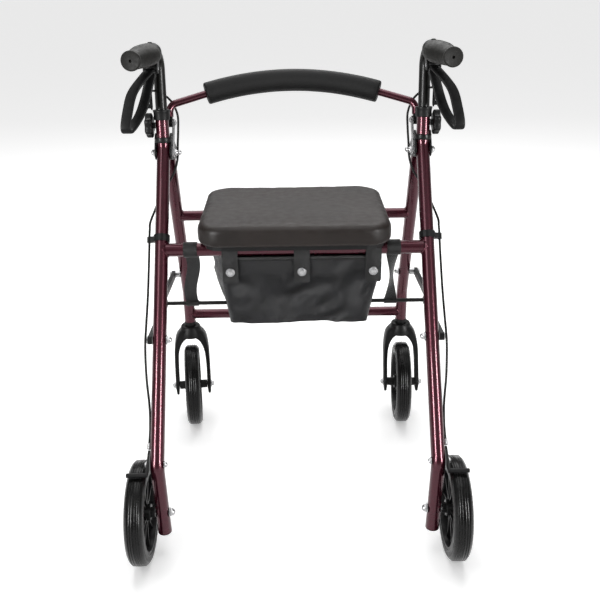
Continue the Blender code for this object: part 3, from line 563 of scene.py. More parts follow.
def make_backrest():
    middle, half = (0.425, 0.811), 0.17

    def arch(x):
        t = x / half
        return at(x, middle[0] - 0.02 * t * t, middle[1] - 0.022 * t * t)

    span = [arch(half * step / 24) for step in range(-24, 25)]
    ends = {}
    for tag, side in SIDES.items():
        corner, low_end = at(side * 0.241, 0.388, 0.7705), at(side * 0.241, 0.3795, 0.7488)
        first = arch(side * half)
        ends[tag] = rounded([first, corner, low_end], 0.019)
    path = ends["l"][::-1] + span[1:-1] + ends["r"]
    piece("backrest_arch", [pipe(path, 0.0073, sides=36)], "burgundy_paint", "backrest", ["backrest_tube"])
    face = LEG_X - LEG_R - 0.0034
    blocks, studs = [], []
    for side in SIDES.values():
        x0, x1 = sorted((side * (face + 0.0003), side * 0.247))
        blocks.append(plate([(*BACKREST_PIVOT, 0.0085), (0.3797, 0.7478, 0.005)], x0, x1))
        inward = Vector((-side, 0, 0))
        inner = side_point(side * (face - 0.0036), BACKREST_PIVOT)
        studs += hex_nut(inner, inward, 0.0048, 0.002, 0.0022, 0.006)
        outer = side_point(side * 0.247, BACKREST_PIVOT)
        studs += hex_nut(outer, -inward, 0.004, 0.0012, 0.0014, 0.005)
    piece("backrest_hinge_blocks", blocks, "black_plastic", "backrest", bevel=0.0006)
    piece("backrest_studs", studs, "zinc_steel", "backrest")
    radius = 0.0213
    loops = []
    inset = [(0.0, 0.0085), (0.0, 0.0185), (0.0012, 0.0206), (0.0035, radius)]
    rows = [(-half + along, size) for along, size in inset]
    rows += [(-half + 0.0035 + (2 * half - 0.007) * step / 40, radius) for step in range(1, 40)]
    rows += [(half - along, size) for along, size in inset[::-1]]
    for x, size in rows:
        ahead = (arch(x + 0.001) - arch(x - 0.001)).normalized()
        first = ahead.cross(UP).normalized()
        second = first.cross(ahead).normalized()
        lumps = 1 + 0.006 * noise.noise(Vector((x * 30, 1.7, 0)))
        loops.append(ring_points(arch(x), first, second, size * lumps, 48))
    sleeve = piece("backrest_sleeve", [loft(loops)], "foam", "backrest", ["backrest_foam"], smooth=60)


# Handles and brakes


def grip_frame(side):
    end, corner = side_point(side * GRIP_END_X, GRIP_END), side_point(side * LEG_X, HANDLE_CORNER)
    back = (end - corner).normalized()
    out = Vector((-back.y, back.x, 0)).normalized()
    return end, back, out if out.x * side > 0 else -out


def make_handle(tag, side):
    body = f"handle_{tag}"
    corners = [side_point(side * LEG_X, STEM_FOOT), side_point(side * LEG_X, HANDLE_CORNER),
               side_point(side * (GRIP_END_X - 0.0007), (GRIP_END[0] + 0.006, GRIP_END[1]))]
    piece(f"stem_tube_{tag}", [pipe(rounded(corners, 0.032), 0.011, 0.0095)], "black_tube", body,
          [f"handle_stem_{tag}"])
    end, back, out = grip_frame(side)
    # distance ahead of the grip's end, half width, half height, and the palm flare's shift in and up
    sections = [
        (0.118, 0.0118, 0.0118), (0.1178, 0.014, 0.014), (0.1165, 0.0158, 0.0155, 0.0005, 0.0),
        (0.11, 0.0182, 0.0172, 0.0015, 0.001), (0.098, 0.0228, 0.0182, 0.0042, 0.002),
        (0.082, 0.0262, 0.019, 0.0062, 0.002), (0.068, 0.027, 0.0193, 0.0068, 0.002),
        (0.054, 0.0256, 0.019, 0.0058, 0.002), (0.04, 0.0225, 0.018, 0.0038, 0.001),
        (0.026, 0.019, 0.0168, 0.0015, 0.0), (0.012, 0.0166, 0.016, 0.0002, 0.0),
        (0.0075, 0.0163, 0.0162), (0.006, 0.0172, 0.0172), (0.0022, 0.0172, 0.0172),
        (0.0006, 0.0163, 0.0163), (0.0, 0.015, 0.015), (0.0004, 0.0142, 0.0142), (0.0004, 0.0026, 0.0026),
        (0.0045, 0.0022, 0.0022),
    ]
    loops = []
    for before_end, wide, tall, *shift in sections:
        inward, rise = shift or (0.0, 0.0)
        centre = end - back * before_end - out * inward + UP * rise
        loops.append([centre + out * wide * math.cos(a) + UP * tall * math.sin(a) for a in turns(48)])
    piece(f"grip_body_{tag}", [loft(loops)], "grip_rubber", body, [f"grip_{tag}"], smooth=40)

    ring_at = end - back * 0.1327
    clamp = turned([(-0.0125, 0.0113), (-0.0125, 0.0162), (-0.0118, 0.0168), (0.0118, 0.0168),
                    (0.0125, 0.0162), (0.0125, 0.0113)], ring_at, back, ring=True)
    shapes = [clamp]
    for offset in (-0.013, 0.01):
        low = side * LEVER_X + offset
        lobes = [(*LEVER_PIVOT, 0.009), (0.309, 0.862, 0.003), (0.326, 0.862, 0.003)]
        shapes.append(plate(lobes, low, low + 0.003))
    x0, x1 = sorted((side * 0.2647, side * 0.2757))
    shapes.append(plate([(0.3285, 0.78, 0.0055), (0.329, 0.8575, 0.0065)], x0, x1))
    for rib in (0.2647, 0.2737):
        x0, x1 = sorted((side * rib, side * (rib + 0.002)))
        shapes.append(plate([(0.326, 0.78, 0.008), (0.3265, 0.8575, 0.009)], x0, x1))
    tab = end - back * 0.129 + UP * 0.0165
    shapes.append(turned([(0, 0.0045), (0.002, 0.0042), (0.0028, 0.003)], tab, UP, 24))
    piece(f"brake_mount_{tag}", shapes, "black_plastic", body, [f"brake_housing_{tag}"], bevel=0.0005)
    rivets = []
    for height in (0.786, 0.808, 0.834):
        spot = side_point(side * 0.2702, (0.3215, height))
        rivets.append(turned([(0, 0.003), (0.0012, 0.0026), (0.0018, 0.0012)], spot, Vector((0, -1, 0)), 20))
    pin = side_point(side * LEVER_X - 0.0142, LEVER_PIVOT)
    rivets.append(turned([(0, 0.0022), (0.0008, 0.003), (0.0276, 0.003), (0.0284, 0.0022)], pin, ACROSS, 20))
    piece(f"brake_rivets_{tag}", rivets, "zinc_steel", body)

    centre_line = [
        (0.3015, 0.8475, -0.002), (0.28, 0.84, 0.008), (0.256, 0.814, 0.028),
        (0.237, 0.783, 0.036), (0.224, 0.759, 0.039), (0.229, 0.75, 0.037),
        (0.247, 0.758, 0.029), (0.267, 0.775, 0.019), (0.285, 0.796, 0.012),
        (0.296, 0.825, 0.004),
    ]
    line = smooth_curve(centre_line, 8, closed=True)
    rim = [(math.cos(a), math.sin(a)) for a in turns(20)]
    stations = []
    for index, spot in enumerate(line):
        ahead = line[(index + 1) % len(line)] - line[index - 1]
        normal = Vector((-ahead.y, ahead.x, 0)).normalized()
        corners = []
        for along, thick in rim:
            across = math.copysign(abs(along) ** 0.4, along)
            apart = math.copysign(abs(thick) ** 0.4, thick)
            place = spot + normal * apart * 0.0034
            corners.append(at(side * (LEVER_X + max(0.0, spot.z) + across * 0.0093), place.x, place.y))
        stations.append(corners)
    boss = turned([(-0.0096, 0.0066), (-0.009, 0.0072), (0.009, 0.0072), (0.0096, 0.0066)],
                  side_point(side * LEVER_X, LEVER_PIVOT), ACROSS)
    piece(f"brake_loop_{tag}", [band(stations, True), boss], "black_plastic", f"brake_lever_{tag}",
          [f"brake_lever_{tag}"], smooth=50)


def make_collar_and_knob(tag, side):
    top = side_point(side * LEG_X, SOCKET_TOP)
    outline = [
        (-0.0145, 0.013), (-0.0145, 0.0146), (-0.0138, 0.0152), (-0.003, 0.0155), (0.0, 0.016),
        (0.003, 0.0168),
        (0.0042, 0.0164), (0.0048, 0.015), (0.0048, 0.0114), (0.0003, 0.0113), (0.0003, 0.013),
    ]
    piece(f"collar_ring_{tag}", [turned(outline, top, SOCKET, 64, ring=True)], "black_plastic", "rear_frame",
          [f"stem_collar_{tag}"])
    centre, out = side_point(side * 0.2695, KNOB), Vector((side, 0, 0))
    first, second = square_to(out)
    loops = []
    for along, scale in ((0.0, 0.84), (0.001, 0.95), (0.0025, 1.0), (0.011, 1.0), (0.013, 0.94),
                         (0.0142, 0.8), (0.0142, 0.45), (0.0132, 0.4)):
        loop = []
        for a in turns(72):
            wave = math.cos(6 * a)
            reach = (0.0213 + 0.0024 * math.copysign(abs(wave) ** 0.75, wave)) * scale
            loop.append(centre + out * along + (first * math.cos(a) + second * math.sin(a)) * reach)
        loops.append(loop)
    neck = turned([(-0.0042, 0.006), (0.002, 0.006)], centre, out)
    knob = f"height_knob_{tag}"
    piece(f"knob_star_{tag}", [loft(loops), neck], "black_plastic", knob, [knob], smooth=45)


def make_brake_arm(tag, side):
    body = f"brake_arm_{tag}"
    angle = math.radians(105)
    reach = WHEEL_R + 0.0025 + 0.004
    shoe = (0.003 + reach * math.cos(angle), WHEEL_R + reach * math.sin(angle))
    x0, x1 = sorted((side * 0.2656, side * 0.2696))
    arm = plate([(*BRAKE_PIVOT, 0.008), (*shoe, 0.004), (0.018, 0.213, 0.0045)], x0, x1)
    bar = turned([(0, 0.0036), (0.0004, 0.004), (0.0351, 0.004), (0.0355, 0.0036)],
                 side_point(side * 0.268, shoe), Vector((side, 0, 0)), 32)
    piece(f"brake_shoe_{tag}", [arm, bar], "black_steel", body, [f"brake_arm_{tag}"], bevel=0.0005)
    outward = Vector((side, 0, 0))
    nuts = hex_nut(side_point(side * 0.2697, BRAKE_PIVOT), outward, 0.0052, 0.003, 0.002, 0.0065)
    inside = side_point(side * (LEG_X - LEG_R - 0.0004), BRAKE_PIVOT)
    nuts += hex_nut(inside, -outward, 0.0052, 0.003, 0.003, 0.0065)
    piece(f"brake_nuts_{tag}", nuts, "zinc_steel", body)


def beside_leg(side, height, outwards, ahead):
    on_leg = side_point(side * LEG_X, (rear_leg_at(height), height))
    return on_leg + Vector((side * outwards, ahead * SLANT.y, -ahead * SLANT.x))


def make_cable(tag, side):
    loose = [
        (0.2702, 0.3378, 0.803), (0.2692, 0.349, 0.804), (0.262, 0.37, 0.8),
        (0.25, 0.389, 0.79), (0.2375, 0.4025, 0.773), (0.2288, 0.404, 0.748),
        (0.2288, 0.397, 0.72), (0.23, 0.385, 0.692), (0.2315, 0.376, 0.664),
        (0.24, 0.364, 0.638), (0.256, 0.338, 0.615),
    ]
    beside = [
        (0.58, 0.0225, 0.011), (0.562, *CLIP), (0.545, *CLIP), (0.528, *CLIP), (0.508, *CLIP),
        (0.455, 0.023, -0.004), (0.41, 0.0222, -0.017), (0.371, 0.022, -0.024),
        (0.325, 0.02, -0.014), (0.285, 0.0165, 0.003),
    ]
    route = [at(side * x, y, z) for x, y, z in loose]
    route += [beside_leg(side, *place) for place in beside]
    end = at(side * 0.2674, 0.0185, 0.2215)
    route += [at(side * 0.2668, 0.042, 0.248), end]
    path = smooth_curve(route, 8)
    cable = piece(f"cable_{tag}", [pipe(path, 0.0022, sides=14)], "black_plastic", None,
                  [f"brake_cable_{tag}"], smooth=60)
    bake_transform(cable)
    dress(f"cable_clip_{tag}", "black_plastic", 0.0004)
    wire = turned([(0, 0.0008), (0.0075, 0.0008)], end, Vector((0, 0, -1)), 12)
    barrel = turned([(-0.01, 0.003), (-0.0095, 0.0034), (0.0005, 0.0034), (0.001, 0.0028)], end,
                    path[-1] - path[-3], 20)
    piece(f"cable_end_{tag}", [wire, barrel], "zinc_steel", "rear_frame")


# Brace, straps


def make_brace():
    rod = [(0, 0.0034), (0.0006, 0.004), (0.546, 0.004), (0.5466, 0.0034)]
    piece("fold_bar", [turned(rod, side_point(-0.2733, BRACE_KNEE), ACROSS, 32)], "black_tube", "brace_rear",
          ["fold_rod"])
    for tag, side in SIDES.items():
        inside = LEG_X - LEG_R - 0.0003
        outward, inward = Vector((side, 0, 0)), Vector((-side, 0, 0))
        x0, x1 = sorted((side * 0.2655, side * 0.2735))
        piece(f"brace_bar_rear_{tag}", [plate([(*BRACE_REAR, 0.008), (*BRACE_KNEE, 0.008)], x0, x1)],
              "black_steel", "brace_rear", [f"brace_rear_link_{tag}"], bevel=0.0008)
        nuts = hex_nut(side_point(side * 0.2736, BRACE_REAR), outward, *LINK_NUT)
        nuts += hex_nut(side_point(side * inside, BRACE_REAR), inward)
        piece(f"brace_nuts_rear_{tag}", nuts, "zinc_steel", "brace_rear")
        x0, x1 = sorted((side * 0.2745, side * 0.2825))
        link = plate([(*BRACE_FRONT, 0.008), (*BRACE_KNEE, 0.008)], x0, x1)
        piece(f"brace_bar_front_{tag}", [link], "black_steel", f"brace_front_{tag}",
              [f"brace_front_link_{tag}"], bevel=0.0008)
        nuts = hex_nut(side_point(side * 0.2826, BRACE_FRONT), outward, *LINK_NUT)
        nuts += hex_nut(side_point(side * inside, BRACE_FRONT), inward)
        nuts += hex_nut(side_point(side * 0.2826, BRACE_KNEE), outward, *LINK_NUT)
        nuts.append(turned([(0, 0.0078), (0.0095, 0.0078)], side_point(side * 0.2746, BRACE_FRONT), inward))
        piece(f"brace_nuts_front_{tag}", nuts, "zinc_steel", f"brace_front_{tag}")


def make_straps():
    bar, rod = Vector(NEAR_BAR), Vector(BRACE_KNEE)
    way = (rod - bar).normalized()
    normal = Vector((-way.y, way.x))
    section = ((-1, -0.6), (-0.5, -1), (0.5, -1), (1, -0.6), (1, 0.6), (0.5, 1), (-0.5, 1), (-1, 0.6))
    for tag, side, twist in (("l", -1, 0.0), ("r", 1, 1.15)):
        upper, middle = (-0.197, -0.213) if tag == "l" else (0.187, 0.197)
        start, end = bar + way * (LEG_R + 0.0009), rod - way * 0.0052
        stations = []
        rows = 36
        for row in range(rows + 1):
            t = row / rows
            spot = start.lerp(end, t)
            turn = twist * math.sin(math.pi * t) ** 0.8
            sag = 0.002 * math.sin(math.pi * t)
            spot = spot + normal * sag
            wide = Vector((math.cos(turn), normal.x * math.sin(turn), normal.y * math.sin(turn)))
            thin = Vector((-math.sin(turn), normal.x * math.cos(turn), normal.y * math.cos(turn)))
            ease = t * t * (3 - 2 * t)
            centre = at(upper + (middle - upper) * ease + 0.0022 * math.sin(2 * math.pi * t), spot.x, spot.y)
            corners = []
            for u, v in section:
                corners.append(centre + wide * u * STRAP_HALF + thin * v * 0.0008)
            stations.append(corners)
        strap = piece(f"strap_web_{tag}", [band(stations, False)], "webbing", None, [f"lift_strap_{tag}"],
                      smooth=60)
        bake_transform(strap)
        loop = cuff(STRAP_HALF, LEG_R + 0.0004, LEG_R + 0.0021, side_point(upper, NEAR_BAR))
        piece(f"strap_loop_bar_{tag}", [loop], "webbing", "rear_frame", bevel=0.0003)
        loop = cuff(STRAP_HALF, 0.0043, 0.006, side_point(middle, BRACE_KNEE), 32)
        piece(f"strap_loop_rod_{tag}", [loop], "webbing", "brace_rear", bevel=0.0003)


# Seat and pouch


def inflate(obj, most):
    """Swells a closed piece under gentle pressure, as stuffing does, by no more than most."""
    rest = [vertex.co.copy() for vertex in obj.data.vertices]
    change = obj.modifiers.new("Cloth", "CLOTH")
    change.settings.quality = 4
    change.settings.mass = 0.3
    change.settings.tension_stiffness = change.settings.compression_stiffness = 40
    change.settings.shear_stiffness = 20
    change.settings.bending_stiffness = 2
    change.settings.use_pressure = True
    change.settings.uniform_pressure_force = 4
    change.settings.effector_weights.gravity = 0
    change.collision_settings.use_collision = False
    change.point_cache.frame_start, change.point_cache.frame_end = 1, 20
    for number in range(1, 21):
        bpy.context.scene.frame_set(number)
    graph = bpy.context.evaluated_depsgraph_get()
    swollen = [vertex.co.copy() for vertex in obj.evaluated_get(graph).data.vertices]
    obj.modifiers.remove(change)
    bpy.context.scene.frame_set(1)
    for vertex, start, end in zip(obj.data.vertices, rest, swollen):
        move = end - start
        vertex.co = start + move * min(1.0, most / max(move.length, 1e-9))


def remeshed(obj, size):
    """The piece's mesh rebuilt in even quads."""
    change = obj.modifiers.new("Remesh", "REMESH")
    change.mode = "VOXEL"
    change.voxel_size = size
    mesh = bpy.data.meshes.new_from_object(obj.evaluated_get(bpy.context.evaluated_depsgraph_get()))
    obj.modifiers.remove(change)
    obj.data = mesh
    mesh.shade_smooth()


def make_seat():
    half, (y0, y1), (z0, z1) = 0.18, (0.165, 0.465), (0.5485, 0.588)
    rows = [
        (z0, 0.006, 0.04), (z0 + 0.0008, 0.0025, 0.042), (z0 + 0.0028, -0.0006, 0.044),
        (z0 + 0.008, -0.0016, 0.045),
        (z0 + 0.018, -0.0018, 0.046), (z0 + 0.029, -0.0012, 0.046), (z0 + 0.033, 0.0005, 0.045),
        (z0 + 0.0355, 0.004, 0.044), (z0 + 0.0366, 0.0095, 0.042), (z0 + 0.0369, 0.019, 0.038),
        (z0 + 0.037, 0.033, 0.034), (z0 + 0.0372, 0.052, 0.03), (z0 + 0.0373, 0.078, 0.026),
        (z0 + 0.0374, 0.105, 0.02), (z0 + 0.0374, 0.13, 0.012),
    ]
    loops = []
    for z, inset, corner in rows:
        loops.append(rounded_rectangle(-half + inset, half - inset, y0 + inset, y1 - inset, corner, z, 10))
    pad = piece("seat_cushion", [loft(loops)], "seat_vinyl", "seat", ["seat_pad"], smooth=60)
    remeshed(pad, 0.005)
    inflate(pad, 0.0022)
    for vertex in pad.data.vertices:
        place = vertex.co
        if place.z < z0 + 0.003:
            place.z = max(place.z, z0)
            continue
        edge = max(0.0, 1 - min(half - abs(place.x), place.y + MID - y0, y1 - MID - place.y) / 0.03)
        fold = noise.noise(Vector((place.x * 34, place.y * 34, place.z * 60))) * 0.0009 * edge
        low = noise.noise(Vector((place.x * 9, place.y * 11, 2.0))) * 0.0009
        if place.z > z0 + 0.025:
            place.z = min(place.z + fold + low, z1 + 0.0015)
        else:
            way = Vector((place.x / half, (place.y + MID - 0.315) / 0.15, 0))
            vertex.co = place - way * abs(fold)
    change = pad.modifiers.new("Subdivision", "SUBSURF")
    change.levels = change.render_levels = 1
    dress("seat_board", "black_steel", 0.0006)


def make_pouch():
    """An open bag that hangs from the rear seat bar, gathered at the sides, with three snap straps."""
    shell = []
    for row in range(POUCH_ROWS):
        t = row / (POUCH_ROWS - 1)
        z = POUCH_LOW + POUCH_TALL * t
        swell = min(1.0, t * 1.8)
        front = (-0.132 - 0.009 * swell + 0.005, 0.132 + 0.018 * swell + 0.008)
        rear = (-0.138 - 0.028 * swell, 0.14 + 0.024 * swell)
        y0, y1 = 0.2165, 0.312 + 0.004 * t
        corners = ((front[1], y0), (rear[1], y1), (rear[0], y1), (front[0], y0))
        loop = []
        for index, (x, y) in enumerate(corners):
            before, after = corners[index - 1], corners[(index + 1) % 4]
            back = (Vector(before) - Vector((x, y))).normalized()
            ahead = (Vector(after) - Vector((x, y))).normalized()
            for step in range(9):
                share = step / 8
                spot = Vector((x, y)) + back * POUCH_CORNER * (1 - share) ** 2
                spot += ahead * POUCH_CORNER * share ** 2
                loop.append(at(spot.x, spot.y, z))
            steps = 56 if index in (1, 3) else 22
            start = Vector((x, y)) + ahead * POUCH_CORNER
            end = Vector(after) - ahead * POUCH_CORNER
            for step in range(1, steps):
                spot = start.lerp(end, step / steps)
                loop.append(at(spot.x, spot.y, z))
        shell.append(loop)
    middle = at(0.008, 0.266, 0)
    for row, loop in enumerate(shell):
        t = row / (POUCH_ROWS - 1)
        for point in loop:
            away = Vector((point.x - middle.x, point.y - middle.y, 0))
            face = Vector((0, -1, 0)) if point.y < 0.219 - MID + 0.012 else away.normalized()
            drape = noise.noise(Vector((point.x * 13 + point.z * 9, point.y * 12, point.z * 15 + 1))) * 0.0055
            crease = noise.noise(Vector((point.x * 22 - point.z * 16, point.y * 20, point.z * 26 + 7)))
            crease = abs(crease) * -0.0075
            wrinkle = noise.noise(Vector((point.x * 60, point.y * 60, point.z * 45 + 3))) * 0.0011
            ease = min(1.0, (1 - t) * 5 + 0.15)
            push = (drape + crease + wrinkle) * ease
            if face.y < -0.9:
                push = min(1.5 * push + 0.001, 0.001)
            point += face * push
            point.z += 0.0022 * noise.noise(Vector((point.x * 18, point.y * 18, 5))) * (1 - t)
    rows = []
    for scale, drop in ((0.25, -0.0005), (0.55, -0.0008), (0.8, -0.0006), (0.94, -0.0002)):
        rows.append([
            Vector((middle.x + (p.x - middle.x) * scale, middle.y + (p.y - middle.y) * scale,
                    p.z + drop + 0.0015))
            for p in shell[0]
        ])
    rows += shell
    points = [p for row in rows for p in row]
    count = len(rows[0])
    faces = [tuple(range(count))]
    for row in range(len(rows) - 1):
        faces += quads_between(row * count, (row + 1) * count, count)
    bag = piece("pouch_bag", [(points, faces)], "pouch_nylon", "rear_frame", ["pouch"], smooth=70)
    squash_pouch(bag)
    # The cut is four sides, 0.80 m round and 0.136 m tall, and a floor of 0.28 by 0.10 m.
    rim = []
    top = shell[-1]
    for index, point in enumerate(top):
        ahead = (top[(index + 1) % len(top)] - top[index - 1]).normalized()
        out = ahead.cross(UP)
        rim.append([
            point + out * 0.0013 * math.cos(b) + UP * (0.004 * math.sin(b) - 0.003) for b in turns(8)
        ])
    squash_pouch(piece("pouch_binding", [band(rim, True)], "webbing", "rear_frame", smooth=60))
    for number, x in enumerate((-0.1227, 0.0131, 0.1486)):
        ring = cuff(SNAP_STRAP_HALF, LEG_R + 0.0003, LEG_R + 0.0015, side_point(x, NEAR_BAR))
        piece(f"pouch_loop_{number}", [ring], "webbing", "rear_frame", bevel=0.0003)
        strip = []
        wide = [SNAP_STRAP_HALF * share for share in (-1, -0.5, 0, 0.5, 1)]
        for z, y, share in (
            (0.53, 0.2136, 1.0), (0.518, 0.2118, 1.0), (0.505, 0.2118, 1.0), (0.49, 0.2126, 1.0),
            (0.476, 0.213, 1.0), (0.4665, 0.2132, 1.0), (0.4625, 0.2134, 0.86),
        ):
            row = [at(x + dx * share, y + 0.0006 * math.cos(dx * 190), z) for dx in wide]
            row += [at(x + dx * share, y + 0.0016 + 0.0006 * math.cos(dx * 190), z) for dx in wide[::-1]]
            strip.append(row)
        strap = piece(f"pouch_strap_{number}", [loft(strip)], "webbing", "rear_frame", bevel=0.0003, smooth=50)
        squash_pouch(strap)
        ring = [(0.0, 0.0086), (0.0012, 0.0086), (0.0021, 0.0077), (0.0021, 0.0069), (0.0012, 0.0062),
                (0.0011, 0.0052), (0.0022, 0.0046), (0.0026, 0.003), (0.0026, 0.0012)]
        snap = turned(ring, at(x, 0.2122, 0.4848), Vector((0, -1, 0)), 40)
        squash_pouch(piece(f"pouch_snap_{number}", [snap], "zinc_steel", "rear_frame"))


def squash_pouch(obj):
    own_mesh(obj)


# Wheels and casters


def wheel_shapes(boss):
    """The tyre, its sidewalls and the spoked hub, centred on the origin with the axle along X."""
    origin = Vector((0, 0, 0))
    shoulder = [(-HALF, 0.0765), (-HALF, 0.085), (-HALF + 0.0006, 0.0885), (-HALF + 0.0022, 0.0915),
                (-HALF + 0.0048, 0.0938)]
    tread = shoulder[:]
    for groove in (-0.009, -0.0045, 0.0, 0.0045, 0.009):
        crown = WHEEL_R - 0.0004 * (groove / 0.009) ** 2
        tread += [(groove - 0.0012, crown), (groove - 0.0005, crown - 0.0009),
                  (groove + 0.0005, crown - 0.0009), (groove + 0.0012, crown)]
    tread += [(-x, r) for x, r in shoulder[::-1]]
    tyre = turned(tread, origin, ACROSS, 96, ring=True)
    walls = []
    for side in SIDES.values():
        flank = [(side * (HALF - 0.0006), 0.078), (side * (HALF + 0.0003), 0.0785),
                 (side * (HALF + 0.0003), 0.0868), (side * (HALF - 0.0006), 0.0875)]
        walls.append(turned(flank, origin, ACROSS, 96, ring=True))
    rim = turned([(-0.016, 0.0705), (-0.016, 0.0759), (-0.015, 0.0762), (0.015, 0.0762), (0.016, 0.0759),
                  (0.016, 0.0705), (0.015, 0.07), (0.003, 0.069), (-0.003, 0.069), (-0.015, 0.07)],
                 origin, ACROSS, 96, ring=True)
    centre = turned([(-boss[0], 0.0049), (-boss[0], 0.009), (-boss[0] + 0.0005, 0.0095), (-0.017, 0.0098),
                     (-0.0165, 0.0145), (-0.016, 0.015), (-0.002, 0.0158), (0.002, 0.0158), (0.016, 0.015),
                     (0.0165, 0.0145), (0.017, 0.0098), (boss[1] - 0.0005, 0.0095), (boss[1], 0.009),
                     (boss[1], 0.0049)], origin, ACROSS, 48, ring=True)
    hub = [rim, centre]
    for spoke in range(10):
        turn = Matrix.Rotation(math.pi * spoke / 5 + 0.1, 3, "X")
        loops = []
        for reach, thick, wide in (
            (0.014, 0.0026, 0.011), (0.025, 0.002, 0.009), (0.056, 0.0019, 0.0085), (0.07, 0.0026, 0.01),
        ):
            corners = ((-1, -1), (1, -1), (1, 1), (-1, 1))
            loops.append([turn @ Vector((x * wide, y * thick, reach)) for x, y in corners])
        hub.append(loft(loops))
    return [tyre], walls, hub


def moved(shapes, place):
    return [([place @ point for point in points], faces) for points, faces in shapes]


def place_wheel(prefix, tag, place, boss, body):
    tyre, walls, hub = wheel_shapes(boss)
    piece(f"{prefix}_tread_{tag}", moved(tyre, place), "tyre_rubber", body, [f"{prefix}_tyre_{tag}"],
          smooth=50)
    piece(f"{prefix}_sidewalls_{tag}", moved(walls, place), "tyre_sidewall", body)
    piece(f"{prefix}_spokes_{tag}", moved(hub, place), "hub_plastic", body, [f"{prefix}_hub_{tag}"],
          bevel=0.0004)


def fork_shapes():
    drop = [(0.0372, 0.0765), (0.0372, 0.095), (0.0372, 0.12), (0.0368, 0.15),
            (0.0345, 0.175), (0.027, 0.1955), (0.013, 0.2085), (0.0, 0.2115)]
    thick = [0.003, 0.0045, 0.0045, 0.0047, 0.006, 0.009, 0.0115, 0.0125]
    section = ((1, -0.7), (1, 0.7), (0.75, 1), (-0.75, 1), (-1, 0.8), (-1, -0.8), (-0.75, -1), (0.75, -1))
    half = smooth_curve([Vector((x, z, t)) for (x, z), t in zip(drop, thick)], 6)
    line = [Vector((-spot.x, spot.y, spot.z)) for spot in half] + half[-2::-1]
    stations = []
    for index, spot in enumerate(line):
        ahead = line[min(index + 1, len(line) - 1)] - line[max(index - 1, 0)]
        normal = Vector((-ahead.y, ahead.x, 0)).normalized()
        corners = []
        for apart, along in section:
            x = spot.x + normal.x * apart * spot.z
            z = spot.y + normal.y * apart * spot.z
            fall = min(1.0, max(0.0, (0.2 - z) / (0.2 - WHEEL_R)))
            middle = -CASTER_TRAIL * fall
            wide = 0.021 - 0.008 * fall
            corners.append(Vector((x, middle + along * wide, z)))
        stations.append(corners)
    crown = [(0.2, 0.028), (0.204, 0.0285), (0.215, 0.0252), (0.2235, 0.0226), (0.225, 0.0218),
             (0.2255, 0.0208)]
    crown = turned(crown, Vector((0, 0, 0)), UP, 64)
    return [band(stations, False), crown]


def make_caster(tag, side):
    angle = math.radians(-side * CASTER_REST[tag])
    place = Matrix.Translation(at(side * LEG_X, CASTER_STEM_Y, 0)) @ Matrix.Rotation(angle, 4, "Z")
    middle = Vector((0, -CASTER_TRAIL, WHEEL_R))
    body = f"caster_{tag}"
    piece(f"fork_{tag}", moved(fork_shapes(), place), "black_plastic", body, [f"caster_fork_{tag}"], smooth=40)
    bearing = turned([(0.2256, 0.0062), (0.2256, 0.0135), (0.2298, 0.014), (0.235, 0.0134), (0.235, 0.0062)],
                     Vector((0, 0, 0)), UP, 48, ring=True)
    piece(f"fork_bearing_{tag}", moved([bearing], place), "black_plastic", body)
    nuts = []
    for way in (-1, 1):
        nuts += hex_nut(middle + ACROSS * way * 0.0419, ACROSS * way, 0.0066, 0.0045, 0.0025)
    nuts.append(turned([(-0.042, 0.0045), (0.042, 0.0045)], middle, ACROSS))
    piece(f"caster_bolt_{tag}", moved(nuts, place), "zinc_steel", body, [f"caster_axle_{tag}"])
    place_wheel("caster", tag, place @ Matrix.Translation(middle), (0.0322, 0.0322), f"caster_wheel_{tag}")


def make_rear_wheels():
    for tag, side in SIDES.items():
        centre = side_point(side * 0.2878, (0.003, WHEEL_R))
        turn = Matrix.Rotation(math.pi if side < 0 else 0.0, 4, "Z")
        place_wheel("rear", tag, Matrix.Translation(centre) @ turn, (0.0243, 0.018), f"rear_wheel_{tag}")
        outward = Vector((side, 0, 0))
        leg_in = LEG_X - 0.0021 - LEG_R
        nuts = hex_nut(centre + outward * 0.0182, outward, 0.0072, 0.002, 0.0018, 0.0105)
        inside = side_point(side * (leg_in - 0.0002), (0.003, WHEEL_R))
        nuts += hex_nut(inside, -outward, 0.0075, 0.0045, 0.0055, 0.0095)
        nuts.append(turned([(0, 0.0045), (0.3063 - leg_in, 0.0045)], centre + outward * 0.0185, -outward))
        piece(f"rear_axle_nuts_{tag}", nuts, "zinc_steel", "rear_frame", [f"rear_axle_{tag}"])


# Floor, light and camera


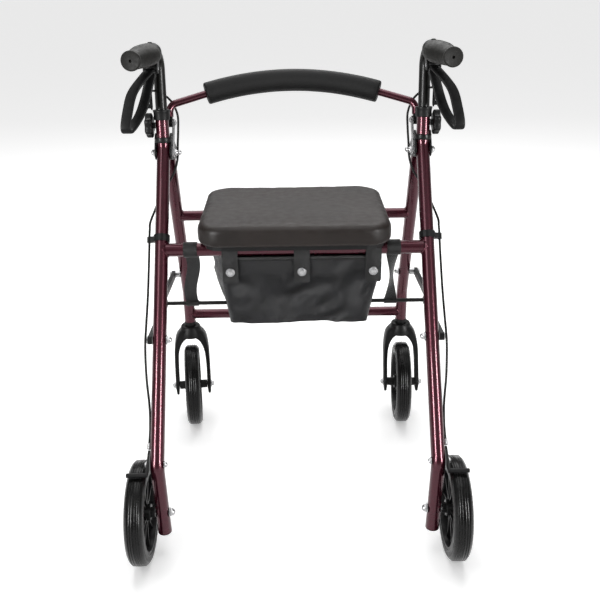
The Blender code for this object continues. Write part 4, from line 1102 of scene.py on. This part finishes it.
def make_stage():
    mesh = bpy.data.meshes.new("floor")
    size = 200.0
    corners = [(-size, -size, 0), (size, -size, 0), (size, size, 0), (-size, size, 0)]
    mesh.from_pydata(corners, [], [(0, 1, 2, 3)])
    mesh.materials.append(LOOKS["floor"])
    floor = bpy.data.objects.new("floor", mesh)
    bpy.context.collection.objects.link(floor)
    world = bpy.data.worlds.new("studio")
    bpy.context.scene.world = world
    world.use_nodes = True
    tree = world.node_tree
    height = tree.nodes.new("ShaderNodeSeparateXYZ")
    ramp = tree.nodes.new("ShaderNodeValToRGB")
    stops = ((0.0, 0.8), (0.15, 0.45), (0.3, 0.15), (0.6, 0.6), (1.0, 1.0))
    for _ in stops[2:]:
        ramp.color_ramp.elements.new(0.5)
    for stop, (place, grey) in zip(ramp.color_ramp.elements, stops):
        stop.position, stop.color = place, (grey, grey, grey, 1)
    tree.links.new(tree.nodes.new("ShaderNodeTexCoord").outputs["Generated"], height.inputs["Vector"])
    tree.links.new(height.outputs["Z"], ramp.inputs["Fac"])
    tree.links.new(ramp.outputs["Color"], tree.nodes["Background"].inputs["Color"])
    tree.nodes["Background"].inputs["Strength"].default_value = 0.75
    for name, place, power, wide, tall, gloss_only in (
        ("key", (-1.8, -1.6, 2.8), 16, 1.2, 1.2, False),
        ("back", (0.0, 2.2, 2.4), 42, 2.6, 1.2, False),
        ("top", (0.0, 0.2, 3.2), 34, 2.0, 2.0, False),
        ("left_strip", (-2.1, -2.3, 1.3), 130, 0.35, 1.8, True),
        ("right_strip", (2.3, -2.0, 1.2), 130, 0.35, 1.8, True),
    ):
        light = bpy.data.lights.new(name, "AREA")
        light.energy, light.shape, light.size, light.size_y = power, "RECTANGLE", wide, tall
        lamp = bpy.data.objects.new(name, light)
        lamp.location = place
        lamp.rotation_euler = (Vector((0, 0, 0.45)) - Vector(place)).to_track_quat("-Z", "Y").to_euler()
        lamp.visible_diffuse = not gloss_only
        bpy.context.collection.objects.link(lamp)
    camera = bpy.data.objects.new("camera", bpy.data.cameras.new("camera"))
    bpy.context.collection.objects.link(camera)
    camera.data.sensor_width = 36.0
    camera.data.lens = 49.2
    pitch, yaw, roll = math.radians(22.57), math.radians(0.42), math.radians(-0.66)
    camera.matrix_world = (
        Matrix.Translation(Vector((-0.002, -1.244 - MID, 1.032)))
        @ Matrix.Rotation(-yaw, 4, "Z")
        @ Matrix.Rotation(math.pi / 2 - pitch, 4, "X")
        @ Matrix.Rotation(roll, 4, "Z")
    )
    scene = bpy.context.scene
    scene.camera = camera
    scene.view_settings.view_transform = "Standard"
    scene.view_settings.look = "None"


def main():
    make_stage()
    make_frame()
    make_hinges()
    make_backrest()
    make_brace()
    make_straps()
    make_seat()
    make_pouch()
    make_rear_wheels()
    for tag, side in SIDES.items():
        make_handle(tag, side)
        make_collar_and_knob(tag, side)
        make_brake_arm(tag, side)
        make_cable(tag, side)
        make_caster(tag, side)


main()
